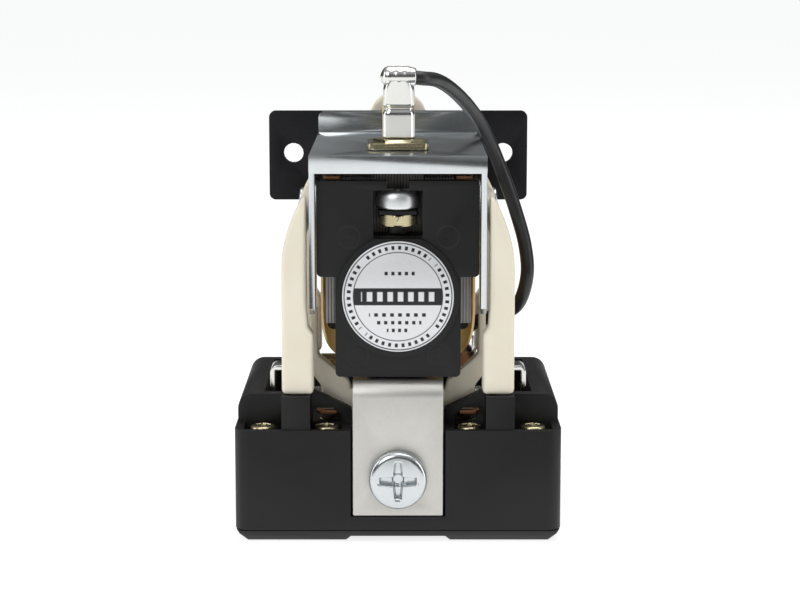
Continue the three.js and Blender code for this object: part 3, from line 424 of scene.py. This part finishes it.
def insulated():
    """Smooth black lead insulation with a light sheen and faint handling marks."""
    f = Finish("lead_insulation")
    cloud = f.grain(240, 3)
    fine = f.grain(2400, 3)
    f.colour(f.blend_colour(cloud, (0.009, 0.009, 0.010), (0.020, 0.020, 0.022)))
    f.rough(cloud * 0.14 + fine * 0.1 + 0.24)
    f.bump(fine + cloud * 0.5, 0.02, 0.25)
    return f


def floor_finish():
    """White card, lit a little from itself so that it stays white to its far edge."""
    f = Finish("floor_white", Emission_Color=(1, 1, 1, 1), Emission_Strength=0.8)
    cloud = f.grain(3, 2)
    f.colour(f.blend_colour(cloud, (0.40, 0.40, 0.40), (0.42, 0.42, 0.42)))
    f.rough(cloud * 0.05 + 0.55)
    return f.material


set_camera()
finishes = {
    "moulding": moulded("black_moulding", (0.006, 0.006, 0.006), (0.014, 0.014, 0.0145)),
    "nylon": nylon(),
    "zinc": plated("pale_zinc", (0.50, 0.49, 0.46), (0.74, 0.73, 0.69), 0.50, 2600, (1, 1, 0.6), 0.03),
    "bright": plated(
        "bright_zinc", (0.50, 0.53, 0.55), (0.70, 0.73, 0.74), 0.22, 1500, (1, 1, 1), 0.006, 0.07),
    "blackened": plated("blackened_steel", (0.016, 0.016, 0.018), (0.035, 0.035, 0.038), 0.48, 1800),
    "iron": laminated(),
    "copper": plated("bare_copper", (0.40, 0.17, 0.08), (0.66, 0.34, 0.19), 0.42, 1200),
    "brass": plated(
        "yellow_passivate", (0.40, 0.34, 0.20), (0.70, 0.63, 0.42), 0.26, 900, (1, 1, 1), 0.012, 0.1),
    "silver": plated(
        "tin_plate", (0.60, 0.60, 0.57), (0.80, 0.80, 0.77), 0.18, 2200, (1, 1, 1), 0.006, 0.08),
    "winding": wound(),
    "label": printed(),
    "spring": plated("spring_wire", (0.42, 0.43, 0.45), (0.62, 0.63, 0.66), 0.30, 1400),
    "lead": insulated(),
}
finishes = {name: finish.material for name, finish in finishes.items()}
cover_finish = cover_moulding().material
satin_finish = plated(
    "satin_zinc", (0.62, 0.64, 0.64), (0.84, 0.86, 0.86), 0.42, 1500, (1, 1, 1), 0.006).material


# ---------- Screws and nuts ----------
def pan_head(centre, axis, radius, height, shank, length, cross=0.5):
    """A pan-head screw with a cross recess.
    Its top is a square grid folded onto a disc, x = u sqrt(1 - v v / 2), y = v sqrt(1 - u u / 2), with
    height h = H - rise (x x + y y) less the recess, a soft-edged cross. Its side follows from the
    disc's rim."""
    line = np.unique(np.round(np.concatenate([
        np.linspace(-1, 1, 25), np.linspace(0.08, 0.28, 9), -np.linspace(0.08, 0.28, 9),
        np.linspace(0.52, 0.74, 7), -np.linspace(0.52, 0.74, 7)]), 5))
    u, v = np.meshgrid(line, line, indexing="ij")
    x, y = u * np.sqrt(1 - v * v / 2), v * np.sqrt(1 - u * u / 2)
    top = radius * 0.78

    def soft(value, edge, width):
        t = np.clip((edge + width - value) / (2 * width), 0, 1)
        return t * t * (3 - 2 * t)

    arm = 0.2 - 0.06 * np.clip(np.hypot(x, y) / 0.7, 0, 1)
    reach = cross * 1.25
    bars = np.maximum(
        soft(np.abs(x), arm, 0.045) * soft(np.abs(y), reach, 0.05),
        soft(np.abs(y), arm, 0.045) * soft(np.abs(x), reach, 0.05))
    well = soft(np.hypot(x, y), 0.25, 0.06)
    depth = height * (0.78 * np.maximum(bars, well) + 0.14 * well * np.maximum(bars, well))
    h = height - 0.10 * height * (x * x + y * y) - depth
    count = len(line)
    grid = np.stack([x * top, y * top, h], -1).reshape(-1, 3)
    faces = quads(count, count, wrap=False).tolist()
    i = np.arange(count)
    edge = np.concatenate([
        i[:-1] * count, (count - 1) * count + i[:-1], i[:0:-1] * count + count - 1, i[:0:-1]])
    rim = grid[edge, :2] / top
    drop = np.linspace(0, pi / 2, 9)[1:]
    shoulder = 0.9 * height
    rows = [(top + (radius - top) * sin(t), shoulder * 0.42 + shoulder * 0.58 * cos(t)) for t in drop]
    rows += [(radius, height * 0.16), (radius * 0.985, height * 0.04), (radius * 0.95, 0)]
    rows += [(shank, 0), (shank, -length), (0, -length)]
    side = np.concatenate([np.column_stack([rim * r, np.full(len(rim), z)]) for r, z in rows])
    points = np.concatenate([grid, side])
    for row in range(len(rows)):
        upper = edge if row == 0 else len(grid) + (row - 1) * len(rim) + np.arange(len(rim))
        lower = len(grid) + row * len(rim) + np.arange(len(rim))
        faces += np.stack([upper, np.roll(upper, -1), np.roll(lower, -1), lower], -1).tolist()
    return points @ basis(axis) + np.asarray(centre), faces


def screw(node, axis, finish=None, cross=0.5):
    """A pan-head screw in place of a CAD one: its head, seat and shank come from the node's box."""
    low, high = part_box(node)
    along = {"+Z": 2, "-Y": 1, "+Y": 1}[axis]
    radius = (high.x - low.x) / 2
    sizes = {"strap": (2.6, 2.9), "plate": (2.0, 1.6), "clamp": (3.8, 1.8), "screw": (2.7, 1.4)}
    height, shank = (value * MM for value in sizes[node.split("_")[0]])
    length = high[along] - low[along] - height
    centre = (low + high) / 2
    centre[along] = low[along] + height if axis == "-Y" else high[along] - height
    mesh = merged(node + "_turned", [pan_head(centre, axis, radius, height, shank, length, cross)])
    placed(node + "_turned", mesh, [node], finish)


def hex_ring(centre, axis, across, height, bore):
    """A hexagon nut: the reach at angle a is across / (2 cos(a folded to 30 degrees)), and at both ends it is
    no more than a cone allows, which leaves the curved chamfers; the bore closes it."""
    count = 96
    a = np.arange(count) * 2 * pi / count
    folded = (a + pi / 6) % (pi / 3) - pi / 6
    reach = across / 2 / np.cos(folded)
    chamfer = across / 2 * 1.02
    levels = [(0, 0.0), (0, 1.0), (0.12, 1.0), (0.5, 1.0), (0.88, 1.0), (1, 1.0), (1, 0.0)]
    rows = []
    for level, out in levels:
        limit = chamfer + min(level, 1 - level) * height * 1.7
        ring = np.minimum(reach, limit) if out else np.full(count, bore)
        rows.append(np.stack([ring * np.cos(a), ring * np.sin(a), np.full(count, level * height)], -1))
    rows.append(rows[0])
    return np.concatenate(rows) @ basis(axis) + np.asarray(centre), quads(len(rows), count)


def nut(node, axis):
    """A flat-shaded hexagon nut in the box of its CAD node."""
    low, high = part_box(node)
    centre = (low + high) / 2
    along = 2 if axis == "+Z" else 1
    height = high[along] - low[along]
    across = (high.y - low.y) if axis == "+Z" else (high.z - low.z)
    centre[along] = low[along]
    bore = 2.0 * MM if axis == "+Z" else 1.5 * MM
    mesh = merged(node + "_cut", [hex_ring(centre, axis, across, height, bore)])
    placed(node + "_cut", mesh, [node])
    mesh.polygons.foreach_set("use_smooth", np.zeros(len(mesh.polygons), bool))


def all_fasteners():
    screw("strap_screw_front", "-Y", cross=0.62)
    screw("strap_screw_rear", "+Y", cross=0.62)
    screw("clamp_screw", "+Z", satin_finish, cross=0.55)
    for side in SIDES:
        screw(f"plate_screw_{side}", "+Y")
        for end in ("front", "rear"):
            for kind in ("inner", "outer"):
                screw(f"screw_{end}_{kind}_{side}", "+Z")
    nut("clamp_nut", "+Z")
    nut("spring_nut", "+Y")


# ---------- Nylon leg frames ----------
def leg_frames():
    """Each leg is a stack of rounded sections: x = c(z) + w(z) |cos a|^n sign, y = d |sin a|^n sign,
    where c and w follow the inner and outer sides. The outer side's bend is a cubic curve with four
    control points. The rail is the same section carried from leg to leg."""
    low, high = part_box("leg_frame_right")
    foot, bend, top = 30.0 * MM, 54.6 * MM, high.z
    outer, inner, foot_inner = high.x, low.x + 1.3 * MM, low.x
    power = 0.42
    count = 56
    a = np.arange(count) * 2 * pi / count
    across = np.sign(np.cos(a)) * np.abs(np.cos(a)) ** power
    along = np.sign(np.sin(a)) * np.abs(np.sin(a)) ** power
    t = np.linspace(0, 1, 22)
    curve_x = (1 - t) ** 3 * outer + 3 * (1 - t) ** 2 * t * outer
    curve_x = curve_x + 3 * (1 - t) * t * t * (inner + 3.1 * MM) + t ** 3 * (inner + 0.9 * MM)
    curve_z = (1 - t) ** 3 * bend + 3 * (1 - t) ** 2 * t * (bend + 6 * MM)
    curve_z = curve_z + 3 * (1 - t) * t * t * (top - 4 * MM) + t ** 3 * top
    heights = np.concatenate([
        [foot, foot, foot + 0.15 * MM, foot + 0.45 * MM, foot + 0.9 * MM],
        np.linspace(foot + 2 * MM, 42 * MM, 5), [43.6 * MM, 47 * MM, 51 * MM], curve_z, [top]])
    out = np.concatenate([[outer] * 13, curve_x, [curve_x[-1]]])
    inn = np.where(heights < 42.3 * MM, foot_inner, np.where(heights < 44 * MM, foot_inner + 1.1 * MM, inner))
    scale = np.ones(len(heights))
    scale[:5] = (0, 0.84, 0.92, 0.97, 1)
    scale[-3:] = (0.94, 0.8, 0)
    centre, half = (out + inn) / 2, (out - inn) / 2
    depth = 2.9 * MM
    for side, sign in zip(SIDES, (1, -1)):
        parts = []
        for y in (low.y + depth, high.y - depth):
            x = centre[:, None] + half[:, None] * across * scale[:, None]
            rows = np.stack([x, y + depth * along * scale[:, None], heights[:, None] + 0 * a], -1)
            parts.append((rows.reshape(-1, 3) * (sign, 1, 1), quads(len(heights), count)))
        rail_y = np.linspace(low.y + 2 * MM, high.y - 2 * MM, 9)
        grow = np.array([0, 1, 1, 1, 1, 1, 1, 1, 0])
        rail_x, rail_z = inner + 1.1 * MM, 64 * MM
        x = rail_x + 1.1 * MM * across * grow[:, None]
        z = rail_z + 3 * MM * along * grow[:, None]
        rows = np.stack([x, rail_y[:, None] + 0 * a, z], -1)
        parts.append((rows.reshape(-1, 3) * (sign, 1, 1), quads(9, count)))
        name = f"leg_frame_{side}"
        placed(name + "_moulded", merged(name, parts), [name])


# ---------- Coil ----------
def coil():
    """The winding as a rounded square tube round the core: sections x = s |cos a|^n sign,
    z = s |sin a|^n sign with shallow layers, their size s rising a little towards the middle, and square
    shoulders at both ends."""
    low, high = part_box("winding")
    centre = (low + high) / 2
    half = (high.x - low.x) / 2
    count = 120
    a = np.arange(count) * 2 * pi / count
    power = 0.46
    cx = np.sign(np.cos(a)) * np.abs(np.cos(a)) ** power
    cz = np.sign(np.sin(a)) * np.abs(np.sin(a)) ** power
    y = np.linspace(low.y, high.y, 150)
    s = (y - low.y) / (high.y - low.y)
    shoulder = np.clip(np.minimum(s, 1 - s) * 26, 0, 1) ** 0.5
    ripple = 0.06 * MM * np.sin(s * 2 * pi * 70)
    size = half * (0.955 + 0.035 * shoulder + 0.01 * np.sin(pi * s)) + ripple - 0.06 * MM
    inner = 8.1 * MM
    collar = [inner + 0.3 * (size[i] - inner) for i in (0, -1)]
    levels = np.concatenate([[inner], [collar[0]], size, [collar[1]], [inner], [inner]])
    places = np.concatenate([[y[0], y[0]], y, [y[-1], y[-1], y[0]]])
    rows = np.stack([
        centre.x + levels[:, None] * cx, places[:, None] + 0 * a, centre.z + levels[:, None] * cz], -1)
    mesh = merged("winding_layers", [(rows.reshape(-1, 3), quads(len(levels), count))])
    placed("winding_layers", mesh, ["winding"])


# ---------- Label ----------
def foil_disc():
    """The label as a thin turned disc with a soft rim."""
    low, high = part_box("label")
    radius, thick = (high.x - low.x) / 2, high.y - low.y
    centre = (low + high) / 2
    centre.y = high.y
    profile = [
        (0, 0), (radius * 0.99, 0), (radius, thick * 0.2), (radius, thick * 0.7), (radius * 0.99, thick),
        (0, thick)]
    mesh = merged("label_foil", [turned(profile, centre, "-Y", 128)])
    placed("label_foil", mesh, ["label"])


# ---------- Lead, spring and small turned pieces ----------
def smooth_route(route, steps):
    """Points along a centripetal Catmull-Rom curve through the route."""
    p = np.asarray(route, float)
    p = np.concatenate([[2 * p[0] - p[1]], p, [2 * p[-1] - p[-2]]])
    knots = np.concatenate([[0], np.cumsum(np.sqrt(np.linalg.norm(np.diff(p, axis=0), axis=1)))])
    made = []
    for i in range(1, len(p) - 2):
        k0, k1, k2, k3 = knots[i - 1:i + 3]
        t = np.linspace(k1, k2, steps, endpoint=False)[:, None]
        a1 = (k1 - t) / (k1 - k0) * p[i - 1] + (t - k0) / (k1 - k0) * p[i]
        a2 = (k2 - t) / (k2 - k1) * p[i] + (t - k1) / (k2 - k1) * p[i + 1]
        a3 = (k3 - t) / (k3 - k2) * p[i + 1] + (t - k2) / (k3 - k2) * p[i + 2]
        b1 = (k2 - t) / (k2 - k0) * a1 + (t - k0) / (k2 - k0) * a2
        b2 = (k3 - t) / (k3 - k1) * a2 + (t - k1) / (k3 - k1) * a3
        made.append((k2 - t) / (k2 - k1) * b1 + (t - k1) / (k2 - k1) * b2)
    return np.concatenate([*made, p[-2:-1]])


def tube(line, radius, count=20):
    """A round section carried along a line of points, on frames turned from point to point, its ends
    closed."""
    line = np.asarray(line, float)
    ahead = np.gradient(line, axis=0)
    ahead /= np.linalg.norm(ahead, axis=1)[:, None]
    across = [np.cross(ahead[0], (0.3, 0.2, 0.93))]
    for direction in ahead[1:]:
        across.append(across[-1] - direction * (across[-1] @ direction))
    across = np.array(across)
    across /= np.linalg.norm(across, axis=1)[:, None]
    up = np.cross(ahead, across)
    a = np.arange(count) * 2 * pi / count
    ring = across[:, None] * np.cos(a)[None, :, None] + up[:, None] * np.sin(a)[None, :, None]
    body = line[:, None] + radius * ring
    ends = [np.repeat(line[:1], count, 0)[None], body, np.repeat(line[-1:], count, 0)[None]]
    rows = np.concatenate(ends)
    return rows.reshape(-1, 3), quads(len(rows), count)


def lead_route():
    """The lead's points from the top barrel over the cap's edge and down to the plug on the rear coil tab."""
    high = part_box("top_receptacle")[1]
    y = middle("top_terminal").y
    plug_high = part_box("lead_plug")[1]
    plug = middle("lead_plug")
    rise = high.z - 2.2 * MM
    barrel_end = high.x
    return [
        Vector((barrel_end - 2 * MM, y, rise)), Vector((barrel_end + 1 * MM, y, rise - 0.3 * MM)),
        Vector((barrel_end + 4.4 * MM, y + 4 * MM, rise - 1 * MM)),
        Vector((13.4 * MM, y + 13.5 * MM, 87 * MM)),
        Vector((18.2 * MM, y + 21.5 * MM, 80.2 * MM)), Vector((22 * MM, y + 23.5 * MM, 71.6 * MM)),
        Vector((25.3 * MM, y + 21.5 * MM, 62.3 * MM)), Vector((27.2 * MM, y + 18.5 * MM, 55 * MM)),
        Vector((27.5 * MM, y + 16.5 * MM, 49.2 * MM)), Vector((25.8 * MM, y + 18 * MM, 43 * MM)),
        Vector((21.6 * MM, y + 25 * MM, 39.2 * MM)), Vector((18 * MM, plug.y - 0.1 * MM, 38 * MM)),
        Vector((15.4 * MM, plug.y + 0.5 * MM, 36.2 * MM)), Vector((plug.x, plug.y, plug_high.z + 0.9 * MM)),
        Vector((plug.x, plug.y, plug_high.z - 2.2 * MM)),
    ]


def lead():
    """The lead as one fixed tube along its route, from the top barrel on the armature to the plug on the
    fixed body.
    """
    line = smooth_route(lead_route(), 14)
    mesh = merged("lead_insulation", [tube(line, LEAD_RADIUS, 24)])
    made = bpy.data.objects.new("lead_insulation", mesh)
    mesh.polygons.foreach_set("use_smooth", np.ones(len(mesh.polygons), bool))
    mesh.materials.append(finishes["lead"])
    bpy.context.scene.collection.objects.link(made)
    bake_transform(made)
    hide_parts("lead")


def return_spring():
    """The wire's line is a helix about the stud whose end turns lie almost flat."""
    low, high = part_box("return_spring")
    centre = middle("return_stud")
    wire, radius, turns = 0.45 * MM, 3.0 * MM, 3.5
    t = np.linspace(0, 1, 190)
    lift = np.clip((t - 0.12) / 0.76, 0, 1)
    y = low.y + wire + (high.y - low.y - 2 * wire) * lift
    a = t * turns * 2 * pi
    line = np.stack([radius * np.cos(a), y, centre.z + radius * np.sin(a)], -1)
    mesh = merged("return_spring_wire", [tube(line, wire * 0.95, 14)])
    made = placed("return_spring_wire", mesh, ["return_spring"])
    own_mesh(made)


def spring_cup():
    """A turned nylon cup: a round rim, a shallow dish and a hub round the stud."""
    low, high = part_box("spring_cup")
    centre = middle("spring_cup")
    r, thick = (high.x - low.x) / 2, high.y - low.y
    centre.y = low.y
    profile = [
        (CUP_BORE, 0), (r - 0.5 * MM, 0), (r - 0.15 * MM, 0.15 * MM), (r, 0.5 * MM), (r, thick - 0.5 * MM),
        (r - 0.15 * MM, thick - 0.15 * MM), (r - 0.5 * MM, thick), (r - 1.3 * MM, thick),
        (r - 1.6 * MM, thick - 0.2 * MM), (r - 1.8 * MM, thick - 0.7 * MM), (CUP_BORE, thick - 0.7 * MM),
        (CUP_BORE, 0)]
    mesh = merged("spring_cup_turned", [turned(profile, centre, "+Y", 96)])
    placed("spring_cup_turned", mesh, ["spring_cup"])


def pivot_pins():
    """Shoulder rivets: a domed head outside the leg frame and a plain shank through to the cap."""
    for side, axis in zip(SIDES, ("+X", "-X")):
        node = f"pivot_pin_{side}"
        low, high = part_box(node)
        centre = middle(node)
        head, shank, length = (high.z - low.z) / 2, 1.5 * MM, high.x - low.x
        centre.x = low.x if axis == "+X" else high.x
        s = np.linspace(0, pi / 2, 8)
        crown, collar = 0.55 * MM, 2.3 * MM
        dome = [(head * cos(t) ** 0.6 if t < pi / 2 else 0, length - crown + crown * sin(t)) for t in s]
        profile = [(0, 0), (2.2 * MM, 0), (collar, 0.15 * MM), (collar, 1.1 * MM), (shank, 1.2 * MM),
                   (shank, length - 1 * MM), (head, length - 1 * MM), *dome]
        placed(node + "_turned", merged(node, [turned(profile, centre, axis, 64)]), [node])


def return_stud():
    """A turned stud: a rounded head, a plain neck and a thread cut as a row of v grooves."""
    low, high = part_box("return_stud")
    centre = middle("return_stud")
    centre.y = low.y
    head, shank, length = (high.x - low.x) / 2, 1.3 * MM, high.y - low.y
    profile = [(0, 0), (head * 0.8, 0.05 * MM), (head * 0.97, 0.3 * MM), (head, 1 * MM), (shank, 1 * MM)]
    pitch = 0.5 * MM
    for place in np.arange(8.4 * MM, length - 0.7 * MM, pitch):
        profile += [(shank, place), (shank * 0.84, place + pitch / 2)]
    profile += [(shank * 0.8, length - 0.1 * MM), (0, length)]
    placed("return_stud_turned", merged("return_stud", [turned(profile, centre, "+Y", 40)]), ["return_stud"])


# ---------- Top receptacle ----------
def top_receptacle():
    """The female terminal: a sheet section (flat front, two rolled edges, open back) carried up the tab,
    drawn in at the notches and at the neck, and a rolled barrel across its top. The section's rolls are
    arcs of radius b about (+-(w - b), 0). At each height it is scaled by s(z) in width and d(z) in depth."""
    low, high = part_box("top_receptacle")
    y = middle("top_terminal").y
    half, bottom = (high.x - low.x) / 2 * 0.84, low.z - 0.3 * MM
    centre_x = 0.15 * MM
    barrel_r = 2.2 * MM
    height = high.z - barrel_r
    top = height - 0.1 * MM
    bend = 1.3 * MM
    side = np.linspace(-pi / 2, pi * 0.72, 18)
    right = np.stack([half - bend + bend * np.cos(side), bend * np.sin(side)], -1)
    flat = np.linspace(-(half - bend), half - bend, 9)[1:-1]
    front = np.stack([flat, np.full(7, -bend)], -1)
    section = np.concatenate([right[::-1] * (-1, 1), front, right])
    tangent = np.gradient(section, axis=0)
    tangent /= np.linalg.norm(tangent, axis=1)[:, None]
    normal = np.stack([tangent[:, 1], -tangent[:, 0]], -1)
    thick = 0.21 * MM
    loop = np.concatenate([section + normal * thick, (section - normal * thick)[::-1]])
    z = np.linspace(0, 1, 60)
    notch = np.exp(-((z - 0.48) / 0.045) ** 2)
    wide = 1.0 - 0.13 * notch - 0.04 * np.clip((z - 0.5) / 0.4, 0, 1)
    wide = wide - 0.32 * np.clip((z - 0.76) / 0.24, 0, 1) ** 2.2
    deep = 1.0 - 0.25 * notch + 0.35 * np.clip((z - 0.55) / 0.45, 0, 1)
    rows = [np.column_stack([loop * (s, d), np.full(len(loop), bottom + (top - bottom) * h)])
            for h, s, d in zip(z, wide, deep)]
    sleeve = np.concatenate(rows) + (centre_x, y, 0)
    count = len(loop)
    faces = quads(len(z), count).tolist()
    for base in (0, (len(z) - 1) * count):
        for i in range(len(section) - 1):
            faces.append([base + i, base + i + 1, base + count - 2 - i, base + count - 1 - i])
    start, length = low.x, high.x - low.x
    inner = LEAD_RADIUS + 0.03 * MM
    across = np.linspace(0, 1, 34)
    closed_end = 0.75 * np.clip(1 - across * 5, 0, 1) ** 2.4
    dome = barrel_r * np.clip(1 - (2 * across - 1) ** 4 * 0.25 - closed_end, 0, 1)
    dome = dome * (1 - 0.035 * (0.5 - 0.5 * np.cos(across * 2 * pi * 4)))
    profile = [(0, 0), *zip(dome, across * length), (inner, length), (inner, 1.4 * MM), (0, 1.4 * MM)]
    barrel = turned(profile, (start, y, height), "+X", 56)
    mesh = merged("top_receptacle_rolled", [(sleeve, faces), barrel])
    placed("top_receptacle_rolled", mesh, ["top_receptacle"])


# ---------- Pieces that keep their CAD shape, with rounded edges ----------
def eased_pieces():
    """Each bevel's width is in millimetres."""
    widths = {
        "base": 0.35, "foot_plate": 0.3, "front_strap": 0.25, "rear_yoke": 0.25, "core": 0.15, "bobbin": 0.2,
        "front_cover": 0.4, "clamp_tab": 0.15, "rear_plate": 0.25, "cap": 0.4, "armature_bar": 0.2,
        "top_terminal": 0.2, "carrier": 0.5, "lead_plug": 0.25,
    }
    pairs = {
        "shading_ring": 0.15, "contact_blade": 0.12, "moving_contact": 0.12, "nc_strip": 0.12,
        "nc_contact": 0.1, "no_strip": 0.12, "no_contact": 0.1, "common_strip": 0.12, "coil_strip": 0.12,
    }
    widths.update({f"{name}_{side}": width for name, width in pairs.items() for side in SIDES})
    for node, width in widths.items():
        eased(node, width, cover_finish if node == "front_cover" else None)


# ---------- Floor and light ----------
def stage():
    """A white floor that runs far enough back to fill the view."""
    mesh = bpy.data.meshes.new("floor")
    mesh.from_pydata([(-20, -3, 0), (20, -3, 0), (20, 60, 0), (-20, 60, 0)], [], [(0, 1, 2, 3)])
    floor = bpy.data.objects.new("floor", mesh)
    mesh.materials.append(floor_finish())
    bpy.context.scene.collection.objects.link(floor)


def lamp(name, place, size, watts):
    data = bpy.data.lights.new(name, "AREA")
    data.shape = "RECTANGLE"
    data.size, data.size_y = size
    data.energy = watts
    made = bpy.data.objects.new(name, data)
    made.location = place
    made.rotation_euler = (Vector(LAMP_AIM) - Vector(place)).to_track_quat("-Z", "Y").to_euler()
    bpy.context.scene.collection.objects.link(made)


def light_studio():
    """Four soft lamps, and a sky that is dim near the ground and brighter overhead."""
    world = bpy.data.worlds.new("studio")
    world.use_nodes = True
    sky = Nodes(world.node_tree)
    background = sky.tree.nodes["Background"]
    place = sky.add("ShaderNodeTexCoord").outputs["Generated"]
    height = sky.add("ShaderNodeSeparateXYZ", None, place).outputs["Z"]
    rise = sky.add("ShaderNodeMapRange", None, height, 0.25, 0.85, 0.07, 0.5)
    sky.feed(background.inputs["Strength"], rise.outputs[0])
    sky.feed(background.inputs["Color"], (0.97, 0.99, 1, 1))
    bpy.context.scene.world = world
    lamp("key", (-0.42, -0.62, 0.62), (0.5, 0.5), 2.9)
    lamp("top", (0.1, 0.1, 0.9), (0.9, 0.7), 4.6)
    lamp("side_right", (0.75, -0.25, 0.3), (0.25, 0.6), 1.3)
    lamp("side_left", (-0.75, -0.05, 0.3), (0.25, 0.6), 1.0)
    bpy.context.scene.view_settings.view_transform = "Standard"


lead()
all_fasteners()
leg_frames()
coil()
foil_disc()
return_spring()
spring_cup()
pivot_pins()
return_stud()
top_receptacle()
eased_pieces()
stage()
light_studio()
